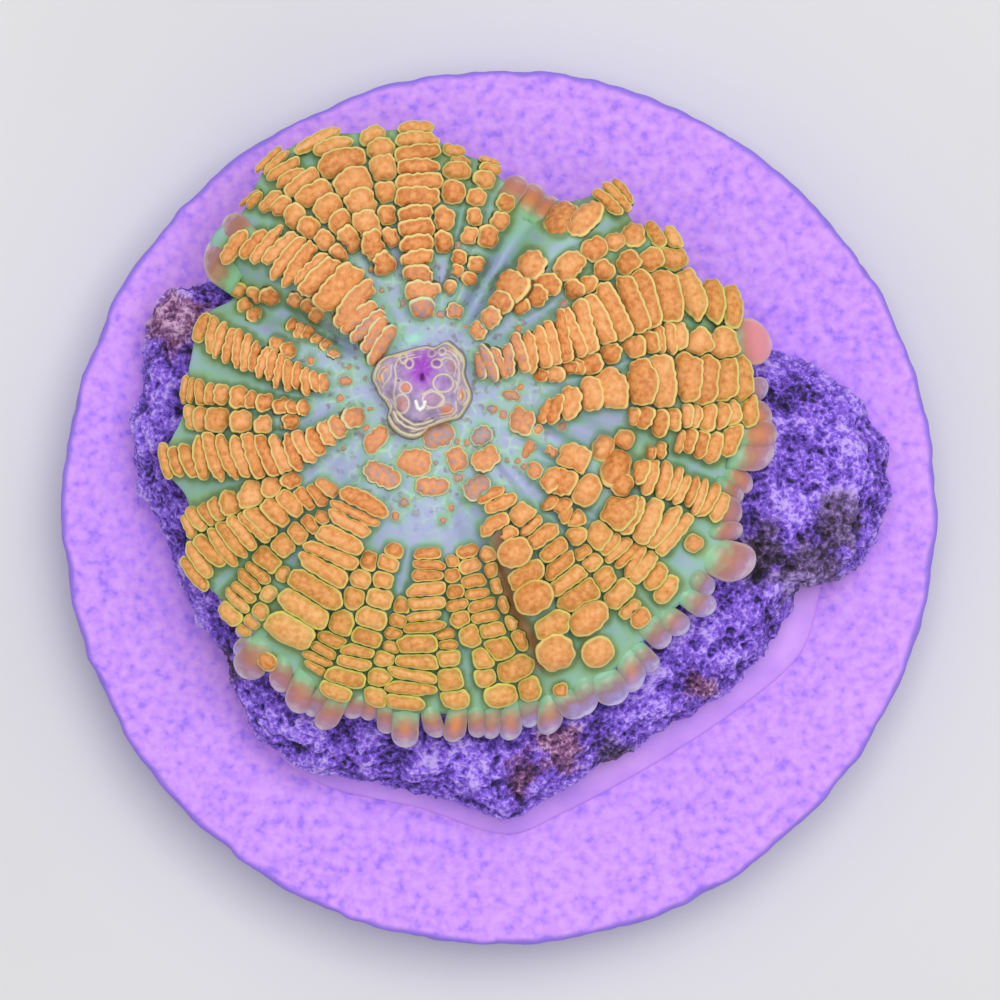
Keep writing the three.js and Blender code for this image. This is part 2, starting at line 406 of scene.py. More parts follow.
@dataclass(frozen=True)
class PigmentedLump(Finish):
    """The lumps' skin, packed with orange pigment: a matt granular face inside a thin bright rim.

    The pigment stops short of the edge, so the clear skin there is pale yellow, and a brighter glow is
    painted on it.
    Inside the rim a darker ring is painted shade, and the sides fall away to olive, darkened to brown with
    painted shade where the lumps meet. The pigment's grains are about 0.05 mm, too fine to show, and are
    drawn coarser.
    Ramps from spread on run from the lump's crown, 0, past its rim, 0.5, to its foot, 1.
    """

    name: str = "coral_lump_pigmented"
    roughness: float = 0.5
    ior: float = 1.37
    bloom: float = 0.28
    depth: float = 0.06
    granule: float = 0.3
    own_tone: float = 0.26
    fresh: Ramp = ((0.28, "#d07a3e"), (0.42, "#e39352"), (0.55, "#eda05f"), (0.72, "#f4b276"))
    olive: Ramp = ((0.28, "#c09040"), (0.42, "#d4a24f"), (0.55, "#dfae5b"), (0.72, "#eabf74"))
    faded: Ramp = ((0.4, "#a79ca6"), (0.47, "#c4988a"), (0.55, "#e28f62"), (0.7, "#eb9f6c"))
    spread: Ramp = ((0.05, "#909090"), (0.42, "#ffffff"))
    # The sides: olive of their own, darkened to brown with painted shade where the lumps meet.
    flank: Ramp = ((0.5, "#b08a42"), (0.58, "#78582a"), (0.8, "#666036"), (1, "#6c8458"))
    # Painted shade: a darker ring inside the rim, where the face rounds away.
    painted_shade_ring: Ramp = ((0.15, "#000000"), (0.36, "#707070"), (0.44, "#606060"), (0.48, "#000000"))
    side: Ramp = ((0.5, "#000000"), (0.55, "#ffffff"))
    # The rim: pale yellow of the clear skin, brightened with a painted glow.
    rim: Ramp = ((0.425, "#000000"), (0.465, "#e0e0e0"), (0.51, "#ffffff"), (0.545, "#000000"))

    def colour(self, tree: bpy.types.NodeTree, place: bpy.types.NodeSocket) -> bpy.types.NodeSocket:
        """Orange face with a ring of painted shade, pale rim with a painted glow, and olive side with painted
        brown shade, by the place from the middle of the lump to its foot.

        Args:
            tree: The material's nodes.
            place: The place on the piece, in metres.

        Returns:
            The colour.
        """
        along = add_node(tree, "MapRange", {"Value": "edge", "From Min": 0.0, "From Max": 2.0})
        grain = add_node(tree, "TexNoise", {"Vector": place, "Scale": per_grain(self.granule), "Detail": 3.0})
        mixing = {0: "tone", 1: self.own_tone, 2: grain}
        mixed = add_node(tree, "Math", mixing, operation="MULTIPLY_ADD", use_clamp=True)
        fresh, olive, faded = (
            add_node(tree, "ValToRGB", {"Fac": mixed}, stops=stops)
            for stops in (self.fresh, self.olive, self.faded)
        )
        spread, flank, painted_shade_ring, side, rim = (
            add_node(tree, "ValToRGB", {"Fac": along}, stops=stops)
            for stops in (self.spread, self.flank, self.painted_shade_ring, self.side, self.rim)
        )
        share = add_node(tree, "Math", {0: spread, 1: "outer"}, operation="MULTIPLY")
        ripe = add_node(tree, "MixRGB", {"Fac": share, "Color1": fresh, "Color2": olive})
        colour = add_node(tree, "MixRGB", {"Fac": "warm", "Color1": faded, "Color2": ripe})
        # The rim's pale colour, brightened with a painted glow: greener towards the margin and on faded
        # lumps.
        glow = add_node(tree, "MixRGB", {"Fac": "outer", "Color1": "#f3df93", "Color2": "#dfe67e"})
        edging = add_node(tree, "MixRGB", {"Fac": "warm", "Color1": "#cdebc0", "Color2": glow})
        # The ring of painted shade, then the sides with their painted shade, then the rim with its painted
        # glow.
        for amount, shown in ((painted_shade_ring, "#a8672c"), (side, flank), (rim, edging)):
            colour = add_node(tree, "MixRGB", {"Fac": amount, "Color1": colour, "Color2": shown})
        return colour

@dataclass(frozen=True)
class TentacleSkin(Finish):
    """Thin wet skin of the margin's fingers: green at the root, brown-pink along it, glassy pale at the tip.

    The skin is clear, and the pale lines along its turned-away edges and at its very tip are painted light.
    """

    name: str = "coral_tentacle_grown_thin"
    roughness: float = 0.3
    ior: float = 1.37
    bloom: float = 0.6
    depth: float = 0.04
    mottle: float = 0.6
    warm: Ramp = ((0.2, "#8fc495"), (0.38, "#a89068"), (0.56, "#b3724f"), (0.8, "#ad7668"), (1, "#c8aaae"))
    cool: Ramp = ((0.15, "#98cfac"), (0.4, "#a2a590"), (0.58, "#a0808e"), (0.8, "#a896d8"), (1, "#d6d6ff"))

    def colour(self, tree: bpy.types.NodeTree, place: bpy.types.NodeSocket) -> bpy.types.NodeSocket:
        """Root to tip, warmer or cooler from finger to finger, with an orange streak on some and painted pale
        light along the turned-away edges and at the tip.

        Args:
            tree: The material's nodes.
            place: The place on the piece, in metres.

        Returns:
            The colour.
        """
        mottle = add_node(tree, "TexNoise", {"Vector": place, "Scale": per_grain(self.mottle), "Detail": 3.0})
        shift = add_node(tree, "Math", {0: mottle, 1: 0.5, 2: -0.25}, operation="MULTIPLY_ADD")
        length = add_node(tree, "Math", {0: "along", 1: shift}, operation="ADD", use_clamp=True)
        warm = add_node(tree, "ValToRGB", {"Fac": length}, stops=self.warm)
        cool = add_node(tree, "ValToRGB", {"Fac": length}, stops=self.cool)
        colour = add_node(tree, "MixRGB", {"Fac": "cool", "Color1": warm, "Color2": cool})
        # side is painted pale light along the turned-away edges and at the tip.
        for amount, shown in (("streak", "#f0965a"), ("pink", "#ee96a4"), ("side", "#e6dfcf")):
            colour = add_node(tree, "MixRGB", {"Fac": amount, "Color1": colour, "Color2": shown})
        return colour

@dataclass(frozen=True)
class MouthSkin(Finish):
    """Thin lilac skin round the mouth, folded: each fold's edge shows as a pale line."""

    name: str = "coral_mouth_folded"
    roughness: float = 0.38
    ior: float = 1.37
    bloom: float = 0.4
    depth: float = 0.04
    mottle: float = 0.45
    lilac: Ramp = ((0.35, "#9a88a8"), (0.5, "#ab97bd"), (0.65, "#bda8c8"))
    # shade is painted shade in the creases beside the folds and in the slit, and also darkens some lobes.
    marks: Sequence[tuple[str, str]] = (
        ("olive", "#858064"), ("purple", "#a94ccb"), ("warm", "#e99561"),
        ("shade", "#564a4c"), ("pale", "#efe3b8"), ("white", "#fbfbf4"),
    )

    def colour(self, tree: bpy.types.NodeTree, place: bpy.types.NodeSocket) -> bpy.types.NodeSocket:
        """Lilac skin, purple in the middle, with orange spots, pale fold edges, painted shade in the creases
        between the folds and in the slit, and some darker lobes.

        Args:
            tree: The material's nodes.
            place: The place on the piece, in metres.

        Returns:
            The colour.
        """
        grain = add_node(tree, "TexNoise", {"Vector": place, "Scale": per_grain(self.mottle), "Detail": 3.0})
        colour = add_node(tree, "ValToRGB", {"Fac": grain}, stops=self.lilac)
        for amount, shown in self.marks:
            colour = add_node(tree, "MixRGB", {"Fac": amount, "Color1": colour, "Color2": shown})
        return colour

@dataclass(frozen=True)
class EncrustedRubble(Finish):
    """Reef rubble, broken limestone under a living crust: dark purple hollows and wormy lilac grains."""

    name: str = "reef_rubble_encrusted"
    roughness: float = 0.85
    ior: float = 1.55
    bloom: float = 0.22
    depth: float = 0.15
    worm: float = 0.5
    grit: float = 0.24
    patch: float = 2.2
    ridge: Ramp = (
        (0.36, "#000000"), (0.46, "#b0b0b0"), (0.5, "#ffffff"), (0.54, "#b0b0b0"), (0.64, "#000000"),
    )
    crust: Ramp = (
        (0.06, "#24143f"), (0.26, "#4a3088"), (0.46, "#754fca"), (0.66, "#9a70f2"), (0.92, "#cbaeff"),
    )
    brown: Ramp = ((0.1, "#150c18"), (0.45, "#443052"), (0.75, "#7c62a0"), (1, "#a890d0"))
    rosy: Ramp = ((0.08, "#2a1230"), (0.35, "#613566"), (0.62, "#9a6496"), (0.9, "#d8b0d8"))

    def colour(self, tree: bpy.types.NodeTree, place: bpy.types.NodeSocket) -> bpy.types.NodeSocket:
        """Dark in the hollows and pale on the knobs, with grains, and other crusts in places.

        Args:
            tree: The material's nodes.
            place: The place on the piece, in metres.

        Returns:
            The colour.
        """
        broad = add_node(tree, "TexNoise", {"Vector": place, "Scale": per_grain(self.patch), "Detail": 4.0})
        worm = add_node(tree, "TexNoise", {"Vector": place, "Scale": per_grain(self.worm), "Detail": 2.0})
        ridge = add_node(tree, "ValToRGB", {"Fac": worm}, stops=self.ridge)
        fine = add_node(tree, "TexNoise", {"Vector": place, "Scale": per_grain(self.grit), "Detail": 3.0})
        level = "height"
        for pattern, strength in ((broad, 0.9), (fine, 1.3), (ridge, 0.4)):
            level = add_node(tree, "Math", {0: pattern, 1: strength, 2: level}, operation="MULTIPLY_ADD")
        level = add_node(tree, "MapRange", {"Value": level, "From Min": 0.86, "From Max": 2.06})
        colour, brown, rosy = (
            add_node(tree, "ValToRGB", {"Fac": level}, stops=stops)
            for stops in (self.crust, self.brown, self.rosy)
        )
        for amount, shown in (("dark", brown), ("pink", rosy)):
            colour = add_node(tree, "MixRGB", {"Fac": amount, "Color1": colour, "Color2": shown})
        return colour

@dataclass(frozen=True)
class PressedCeramic(Finish):
    """Unglazed ceramic, pressed and fired: a fine pitted grain, violet all over, with painted shade in blue
    round the edge where it turns away.

    The fired grain is about 0.1 mm, too fine to show, and is drawn coarser.
    """

    name: str = "ceramic_pressed_unglazed"
    roughness: float = 0.7
    ior: float = 1.52
    bloom: float = 0.45
    depth: float = 0.05
    grain: float = 0.55
    cloud: float = 7.0
    violet: Ramp = ((0.1, "#a878fb"), (0.3, "#c28cff"), (0.5, "#d196ff"), (0.85, "#dca4ff"))
    # Painted shade of the rounded edge as it turns away.
    edge: str = "#8d70e6"

    def colour(self, tree: bpy.types.NodeTree, place: bpy.types.NodeSocket) -> bpy.types.NodeSocket:
        """Mottled violet, bluer in the pits, with painted shade in blue round the edge.

        Args:
            tree: The material's nodes.
            place: The place on the piece, in metres.

        Returns:
            The colour.
        """
        fine = add_node(tree, "TexNoise", {"Vector": place, "Scale": per_grain(self.grain), "Detail": 2.0})
        cloud = add_node(tree, "TexNoise", {"Vector": place, "Scale": per_grain(self.cloud), "Detail": 2.0})
        shade = add_node(tree, "Math", {0: cloud, 1: 0.2, 2: fine}, operation="MULTIPLY_ADD")
        level = add_node(tree, "MapRange", {"Value": shade, "From Min": 0.32, "From Max": 0.86})
        violet = add_node(tree, "ValToRGB", {"Fac": level}, stops=self.violet)
        # rim marks the painted shade round the edge.
        return add_node(tree, "MixRGB", {"Fac": "rim", "Color1": violet, "Color2": self.edge})


@dataclass(frozen=True)
class CuredGel(Finish):
    """Gel glue, squeezed out and cured: smooth and a little waxy, violet like the disc under it."""

    name: str = "gel_glue_cured"
    roughness: float = 0.45
    ior: float = 1.49
    bloom: float = 1.5
    depth: float = 0.05
    cloud: float = 2.2
    violet: Ramp = ((0.3, "#c592fc"), (0.5, "#d29aff"), (0.7, "#dca4ff"))

    def colour(self, tree: bpy.types.NodeTree, place: bpy.types.NodeSocket) -> bpy.types.NodeSocket:
        """Clouded violet.

        Args:
            tree: The material's nodes.
            place: The place on the piece, in metres.

        Returns:
            The colour.
        """
        cloud = add_node(tree, "TexNoise", {"Vector": place, "Scale": per_grain(self.cloud), "Detail": 3.0})
        return add_node(tree, "ValToRGB", {"Fac": cloud}, stops=self.violet)


@dataclass(frozen=True)
class StudioPaper(Finish):
    """Seamless studio paper: matt and pale, with a faint tooth."""

    name: str = "studio_paper_matt"
    roughness: float = 0.9
    bloom: float = 0.8
    depth: float = 0.02
    cloud: float = 40.0
    grey: Ramp = ((0.3, "#dcdcde"), (0.7, "#e2e2e4"))

    def colour(self, tree: bpy.types.NodeTree, place: bpy.types.NodeSocket) -> bpy.types.NodeSocket:
        """Pale grey.

        Args:
            tree: The material's nodes.
            place: The place on the piece, in metres.

        Returns:
            The colour.
        """
        cloud = add_node(tree, "TexNoise", {"Vector": place, "Scale": per_grain(self.cloud), "Detail": 1.0})
        return add_node(tree, "ValToRGB", {"Fac": cloud}, stops=self.grey)


@dataclass(frozen=True)
class LumpRow:
    """One radial row of lumps on the oral disc.

    rise is how far its crest stands above the disc, widths run evenly from the first lump to the last,
    course is (radius, angle) along its middle, and beads are the radii of its lumps, where they aren't
    those of the course.
    """

    rise: float
    widths: tuple[float, ...]
    course: tuple[tuple[float, float], ...]
    beads: tuple[float, ...] = ()

    def radii(self) -> tuple[float, ...]:
        """Radii of the row's lumps."""
        return self.beads or tuple(radius for radius, _ in self.course)

    def angle(self, radius: Array) -> Array:
        """Angle of the row's middle at each radius."""
        return np.interp(radius, [place[0] for place in self.course], [place[1] for place in self.course])

    def width(self, radius: Array) -> Array:
        """Width of the row's lumps at each radius."""
        first, last = self.radii()[0], self.radii()[-1]
        return np.interp(radius, np.linspace(first, last, len(self.widths)), self.widths)


LUMP_ROWS = (
    LumpRow(1.1, (1.4, 2.2, 2.9), ((6.7, 347), (9.2, 355), (10.6, 358), (13.1, 360.5), (14.5, 361),
        (17.8, 360)), (6.8, 7.3, 8.1, 9.2, 10.3, 12, 13.1, 14.6, 15.6, 16.7, 17.7)),
    LumpRow(0.7, (0.7, 1.2, 1.5), ((6.4, 2.5), (7.1, 3.5), (8, 6), (8.5, 6), (9.2, 7), (10.4, 8.5),
        (11.7, 9.5), (12.7, 10.5), (13.2, 10.5), (13.8, 10.5), (14.3, 10.5), (15.4, 8.5), (16.7, 7))),
    LumpRow(1.4, (1.7, 2, 2.6, 2.8, 3.2, 2.6, 2.1), ((3.1, 15), (6.7, 17), (11.1, 20), (13.3, 21.5),
        (15.6, 18.5), (17.7, 14.5)), (3.1, 3.6, 4.2, 4.7, 5.4, 6, 6.7, 7.3, 8, 8.6, 9.3, 10.2, 11.1,
        12.3, 13.1, 14.3, 15.6, 16.7, 17.7)),
    LumpRow(0.7, (0.9, 1.3), ((9.7, 31.5), (10.5, 31), (11.7, 32), (13.1, 30.5), (14.3, 28.5),
        (15.5, 26.5))),
    LumpRow(0.9, (0.9, 1.5, 1.5, 1.4), ((6.7, 37), (7.8, 38), (8.6, 38), (10.1, 39), (11.8, 38),
        (12.9, 37), (14, 35.5), (14.7, 34), (15.3, 33), (16, 30))),
    LumpRow(1, (0.9, 1.6, 2.2, 2.6, 1.8), ((4, 44), (5, 45.5), (6, 48), (7.1, 48.5), (8.7, 49),
        (11.1, 48), (12.2, 46), (13.6, 45), (14.3, 45), (14.9, 44.5), (15.4, 44))),
    LumpRow(0.6, (0.6, 0.9, 1.1), ((4.1, 66.5), (6.2, 66), (7.1, 66), (8.8, 65.5), (9.9, 65),
        (11, 65.5))),
    LumpRow(0.8, (0.7, 0.9, 1.2), ((5.4, 75), (6.4, 75), (7.1, 74.5), (8.5, 74), (9.6, 74), (10.7, 74),
        (11.8, 74), (12.5, 73.5), (12.9, 73.5))),
    LumpRow(0.8, (0.9, 1.2, 1.2), ((7.8, 83), (9.1, 83), (10.7, 82), (12, 81.5), (12.5, 81.5),
        (13.1, 83))),
    LumpRow(1.2, (1.4, 1.8, 1.9, 2.1), ((3.9, 93), (7.2, 94), (11.1, 92), (14.3, 92)), (4, 5, 5.9, 6.8,
        7.6, 8.5, 9.3, 10.3, 11.1, 12, 12.8, 13.6, 14.3)),
    LumpRow(0.8, (0.9, 1.4), ((8.2, 103.5), (9.5, 103), (10.8, 101.5), (12.2, 101), (13.3, 101),
        (14.2, 102))),
    LumpRow(1, (1, 1.7, 2.1), ((6.9, 110), (8.1, 111), (9.3, 110.5), (10.6, 110), (11.8, 109.5),
        (13.2, 111), (14.2, 112), (14.9, 114))),
    LumpRow(0.9, (1.2, 1.9), ((8.9, 118), (10, 118), (11.1, 119.5), (12.2, 121), (13.1, 122),
        (13.7, 123), (14.3, 124), (14.9, 124.5), (15.3, 125))),
    LumpRow(0.8, (0.8, 1.3), ((8.6, 124), (9.7, 125.5), (10.8, 127.5), (11.8, 128), (12.7, 129.5),
        (13.3, 131), (14, 133), (14.3, 133.5))),
    LumpRow(1.5, (2.3, 2.6, 2.4, 2.3, 2.4, 2), ((3.1, 140), (6.7, 132), (8.9, 136), (10.6, 138),
        (12, 140), (13.3, 146)), (3.1, 3.8, 4.4, 5.1, 5.8, 6.4, 7, 7.6, 8.2, 8.9, 9.6, 10.3, 11, 11.7,
        12.3, 13.1)),
    LumpRow(0.5, (0.7, 0.8), ((7.1, 149), (7.8, 148.5), (8.6, 149))),
    LumpRow(0.5, (0.7, 0.9), ((5.4, 160), (5.9, 159.5), (6.5, 158.5), (7.1, 157.5), (7.6, 157),
        (8.1, 157))),
    LumpRow(0.5, (0.8, 0.9), ((7.8, 166), (8.5, 165))),
    LumpRow(0.5, (0.9, 1.1), ((10.3, 158.5), (11, 156))),
    LumpRow(0.5, (0.9, 1), ((9.9, 152), (10.8, 153), (11.7, 154))),
    LumpRow(1.4, (1.2, 1.6, 1.9, 1.8), ((5.6, 181), (7.1, 178), (8.3, 175), (9.5, 172), (11.1, 169),
        (13.1, 166)), (5.6, 6.1, 6.6, 7.1, 7.6, 8.1, 8.6, 9.1, 9.6, 10.1, 10.6, 11.1, 11.7, 12.2,
        12.9)),
    LumpRow(0.9, (0.8, 1.4), ((6.9, 192), (7.5, 190), (8.1, 189), (9, 187), (9.7, 186), (10.4, 184.5),
        (11.4, 183), (12, 183), (12.6, 182.5), (13.1, 182), (13.5, 181.5))),
    LumpRow(0.8, (0.8, 1.3), ((7.8, 196), (9.3, 194), (10.5, 191.5), (11.8, 190), (12.7, 189),
        (13.3, 188.5))),
    LumpRow(1.5, (1.3, 1.9, 2.2, 1.9), ((4.4, 206), (7.5, 209), (9.2, 207), (10.6, 202), (12.5, 200),
        (15.2, 197)), (4.4, 5.4, 6.1, 6.9, 7.6, 8.3, 9, 9.7, 10.4, 11.1, 11.8, 12.5, 13.2, 13.9, 14.6,
        15.2)),
    LumpRow(0.9, (0.9, 1.5), ((9.2, 216.5), (10.4, 214), (11.6, 212.5), (12.8, 211.5), (13.6, 211),
        (14.2, 210.5), (14.9, 210.5), (15.5, 211))),
    LumpRow(1, (1.2, 1.9, 2.4), ((8, 226), (8.7, 225.5), (9.3, 224), (10.1, 222), (11, 221), (12, 220),
        (12.5, 220), (13.2, 219), (13.9, 219), (14.6, 219), (15.3, 218), (16.1, 218), (16.8, 219.5))),
    LumpRow(0.9, (0.9, 1.5), ((9.5, 232), (10.2, 230.5), (11, 229.5), (12.1, 228.5), (13.3, 228.5),
        (14.2, 228.5), (14.8, 228.5), (15.6, 228.5), (16.1, 229), (17, 230))),
    LumpRow(0.5, (0.7, 0.8), ((13.3, 233.5), (14.7, 233.5), (15.8, 234), (16.6, 234), (17.2, 234))),
    LumpRow(1.5, (1.9, 2.1, 2.5, 2.8, 2.2), ((5.4, 246), (7.2, 243), (10, 241), (13.1, 242),
        (15.8, 241)), (5.4, 6.1, 7.5, 8.3, 8.9, 10, 11, 11.8, 13.1, 14.3, 15.8)),
    LumpRow(0.8, (0.9, 1.4), ((10.4, 252), (11.6, 252), (12.6, 252), (14.3, 251), (15.3, 250),
        (16, 249), (16.6, 248.5), (17.1, 248.5))),
    LumpRow(1, (1, 1.8), ((9.5, 259.5), (10.3, 258.5), (11.3, 258), (12.3, 258), (13.5, 257.5),
        (14.6, 257), (15.5, 256), (16.1, 255.5), (17.1, 254.5), (18, 254))),
    LumpRow(0.7, (0.9, 1.2), ((12.5, 264), (13.4, 263.5), (14.1, 263), (14.9, 262.5), (15.6, 261.5),
        (16.7, 261), (17.8, 261))),
    LumpRow(1.2, (1.4, 2.2, 2.5), ((9.5, 270.5), (10.2, 271), (10.7, 271), (11.6, 269.5), (12.3, 268.5),
        (13.1, 268.5), (13.6, 269), (14.6, 268), (15.6, 267.5), (16.3, 266.5), (17.1, 266),
        (17.9, 265.5))),
    LumpRow(0.7, (1, 1.4), ((14.1, 274.5), (14.7, 274.5), (15.4, 274.5), (16.7, 275), (17.8, 275.5))),
    LumpRow(0.8, (0.8, 1.2), ((10.1, 278.5), (10.8, 278.5), (11.8, 278.5), (12.5, 278.5), (13.3, 278.5),
        (14.3, 280), (15.8, 281.5), (16.8, 281.5))),
    LumpRow(1, (1.1, 1.9), ((9.7, 283.5), (10.5, 283.5), (11.4, 284), (12.1, 284), (12.8, 284),
        (13.5, 284), (14.3, 285), (15.4, 285.5), (16.8, 287), (18, 283.5))),
    LumpRow(0.7, (0.8, 1.3), ((10.2, 289.5), (11.1, 289), (12, 289.5), (13.1, 289.5), (14.3, 290.5),
        (15.1, 291), (18.1, 288.5))),
    LumpRow(1.7, (1.8, 1.5, 1.7, 1.9, 1.9, 2.2, 1.7, 2), ((6.6, 293), (7.2, 300.5), (7.9, 302),
        (8.8, 296), (9.6, 297), (10.7, 297.5), (12.2, 297), (13.3, 296.5), (14.3, 297), (15.3, 298),
        (16.8, 295.5))),
    LumpRow(1.3, (0.8, 1.2, 1.6, 2.2, 1.6), ((5.3, 307), (9.2, 306), (9.9, 306), (10.7, 306.5),
        (11.8, 307), (12.6, 306.5), (13.6, 306), (14.6, 306.5), (16, 304.5), (17.9, 302.5))),
    LumpRow(0.9, (0.9, 1.5), ((9.6, 316), (10.2, 317.5), (10.8, 317), (12, 315), (12.9, 313),
        (13.6, 312.5), (14.8, 312.5), (16, 312.5), (17.1, 312), (18, 312.5))),
    LumpRow(0.9, (1.1, 1.7), ((11.3, 318), (12.8, 318), (13.6, 318.5), (14.2, 319), (14.8, 319),
        (15.3, 319.5), (15.9, 319.5), (16.8, 319.5), (17.7, 319.5))),
    LumpRow(1.2, (1, 1.8, 1.9, 2.1), ((7.7, 320.5), (8.8, 322), (9.4, 324.5), (10.8, 326),
        (12.9, 326.5), (13.6, 327), (14.6, 327.5), (15.5, 329), (16.2, 328.5))),
    LumpRow(1.2, (0.9, 1.5, 1.6, 1.9), ((5.9, 335), (9.2, 333.5), (12, 331.5), (12.9, 337.5),
        (13.5, 337.5), (14.3, 338), (14.9, 338), (15.4, 337.5), (16, 338), (16.5, 337.5), (17.1, 337.5),
        (17.8, 337))),
    LumpRow(0.5, (0.8, 0.8), ((13.1, 343), (13.6, 343.5))),
    LumpRow(0.9, (1.2, 1.8), ((14.5, 346.5), (15, 347), (15.7, 347), (16.4, 347), (17.3, 349.5))),
    LumpRow(0.9, (1, 1.7), ((11.7, 350), (12.3, 350.5), (13.2, 350), (13.9, 351), (14.6, 352.5),
        (15.1, 353), (15.8, 353), (16.6, 354), (17.2, 354.5), (18.1, 355))),
)


OUTLINE_STEPS = 180
OUTLINE_SQUARENESS = 2.3
OUTLINE_SPACING = 0.105
OUTLINE_FEWEST = 14
OUTLINE_MOST = 64
CURVE_STEPS = 24


class LumpForm(Enum):
    """How a lump's side runs.

    Each ring is its inset from the outline, the most that may be as a share of the half width, its
    share of the height, and its place from the crown, 0, past the rim, 1, to the foot, 2.
    """

    PLATE = (
        (0.6, 0.6, 0.96, 0.3), (0.32, 0.42, 0.89, 0.6), (0.16, 0.27, 0.8, 0.82), (0.06, 0.1, 0.7, 0.96),
        (0.0, 0.0, 0.56, 1.06), (0.04, 0.08, 0.15, 1.5), (0.15, 0.3, -0.4, 2.0),
    )
    BULB = (
        (0.9, 0.68, 0.95, 0.2), (0.5, 0.45, 0.86, 0.5), (0.2, 0.25, 0.73, 0.8), (0.07, 0.1, 0.61, 0.96),
        (0.0, 0.0, 0.48, 1.06), (0.12, 0.16, 0.2, 1.5), (0.3, 0.38, -0.4, 2.0),
    )
    PATCH = (
        (0.6, 0.6, 0.98, 0.3), (0.3, 0.42, 0.9, 0.6), (0.15, 0.25, 0.76, 0.82), (0.06, 0.1, 0.55, 0.96),
        (0.0, 0.0, 0.25, 1.06), (0.0, 0.0, -0.2, 1.5), (0.1, 0.2, -1.0, 2.0),
    )


@dataclass(frozen=True)
class Lump:
    """One lump: where it stands on the oral disc, its plain size, and how its pigment looks.

    tilt is how steeply it leans in to the mouth, lobing is the size of the lobes round its edge and the
    depth of the creases between them, and row is the number of its row, if its plates overlap.
    """

    angle: float
    radius: float
    width: float
    length: float
    height: float
    form: LumpForm
    warm: float = 1.0
    tilt: float = 0.0
    lobing: tuple[float, float] = (0.5, 0.08)
    yaw: float = 0.0
    row: int = -1

    def middle(self) -> Array:
        """The lump's place in plan, from the mouth."""
        turn = math.radians(self.angle)
        return self.radius * np.array([math.cos(turn), math.sin(turn)])

    def axes(self) -> tuple[Array, Array]:
        """Unit vectors in plan, across the lump and in towards the mouth."""
        turn = math.radians(self.angle + self.yaw)
        return np.array([-math.sin(turn), math.cos(turn)]), np.array([-math.cos(turn), -math.sin(turn)])

    def apart(self, other: "Lump") -> float:
        """Distance in plan between the middles of two lumps."""
        return math.dist(self.middle(), other.middle())

    def share(self, plan: Array) -> Array:
        """Measures places against the lump's plain outline.

        Args:
            plan: Rows of x and y, from the mouth.

        Returns:
            0 in the middle of the lump, 1 on its outline, and more beyond.
        """
        across, inward = self.axes()
        away = plan - self.middle()
        wide = np.abs(away @ across) / (0.5 * self.width)
        long = np.abs(away @ inward) / (0.5 * self.length)
        return (wide**OUTLINE_SQUARENESS + long**OUTLINE_SQUARENESS) ** (1 / OUTLINE_SQUARENESS)


# Swollen lumps: (angle, radius, width, length, height)
BULBS = (
    (340, 10.5, 1.6, 1.3, 1.1), (336.3, 11.6, 2.2, 1.7, 1.3), (343.8, 11.5, 1.2, 1.2, 0.9),
    (332.3, 12.4, 1.4, 1.3, 0.9), (326, 10.8, 2.0, 1.5, 1.0), (297.5, 10.7, 2.0, 1.7, 1.0),
    (296.5, 13.4, 2.3, 1.9, 1.1), (295.6, 16.8, 2.2, 2.1, 1.1), (304.6, 16.0, 2.5, 1.7, 0.9),
    (48.8, 8.8, 1.6, 1.8, 0.8), (39, 10.3, 1.5, 2.0, 0.8), (302.5, 17.9, 1.9, 1.7, 0.8),
    (329, 17.5, 1.1, 1.1, 0.8), (50.7, 11.9, 1.9, 2.3, 0.8), (46.3, 12.8, 1.4, 2.5, 0.9),
    (293.6, 18.8, 0.9, 0.9, 0.6), (312.3, 17.8, 1.3, 1.1, 0.5), (240.3, 18.0, 1.3, 1.0, 0.7),
    (38.4, 12.0, 1.4, 1.6, 0.7), (36.9, 13.2, 1.1, 1.2, 0.7), (35.8, 14.3, 1.5, 1.4, 0.7),
)

# Flat patches near the mouth: (x and y from the mouth, width, length, warmth)
PATCHES = (
    (1.65, 3.92, 1.1, 1.0, 0.7), (2.87, 2.9, 1.1, 1.1, 0.8), (-2.75, -3.14, 1.25, 1.85, 0.2),
    (0.76, -2.97, 1.95, 1.45, 0.35), (-0.63, -4.44, 1.9, 1.55, 0.35), (-2.43, -5.18, 2.3, 1.35, 0.5),
    (1.72, -4.34, 1.25, 1.45, 0.5), (3.36, -4.2, 1.6, 1.35, 0.8), (3.11, -2.97, 1.4, 1.2, 0.15),
    (5.3, -2.16, 1.55, 1.45, 0.9), (4.75, -0.77, 0.7, 1.1, 0.8), (3.69, -1.5, 0.7, 0.7, 0.0),
    (5.8, -3.6, 1.4, 0.7, 0.1), (6.05, -4.93, 1.0, 1.1, 0.8), (6.95, -3.87, 0.7, 0.85, 0.8),
    (0.34, -5.83, 2.0, 1.2, 0.5), (2.87, -5.9, 1.7, 1.45, 0.4), (-5.1, 1.67, 0.7, 0.8, 0.6),
    (-4.46, 0.05, 0.8, 0.9, 0.0), (-1.2, -6.7, 0.7, 0.7, 0.0),
)

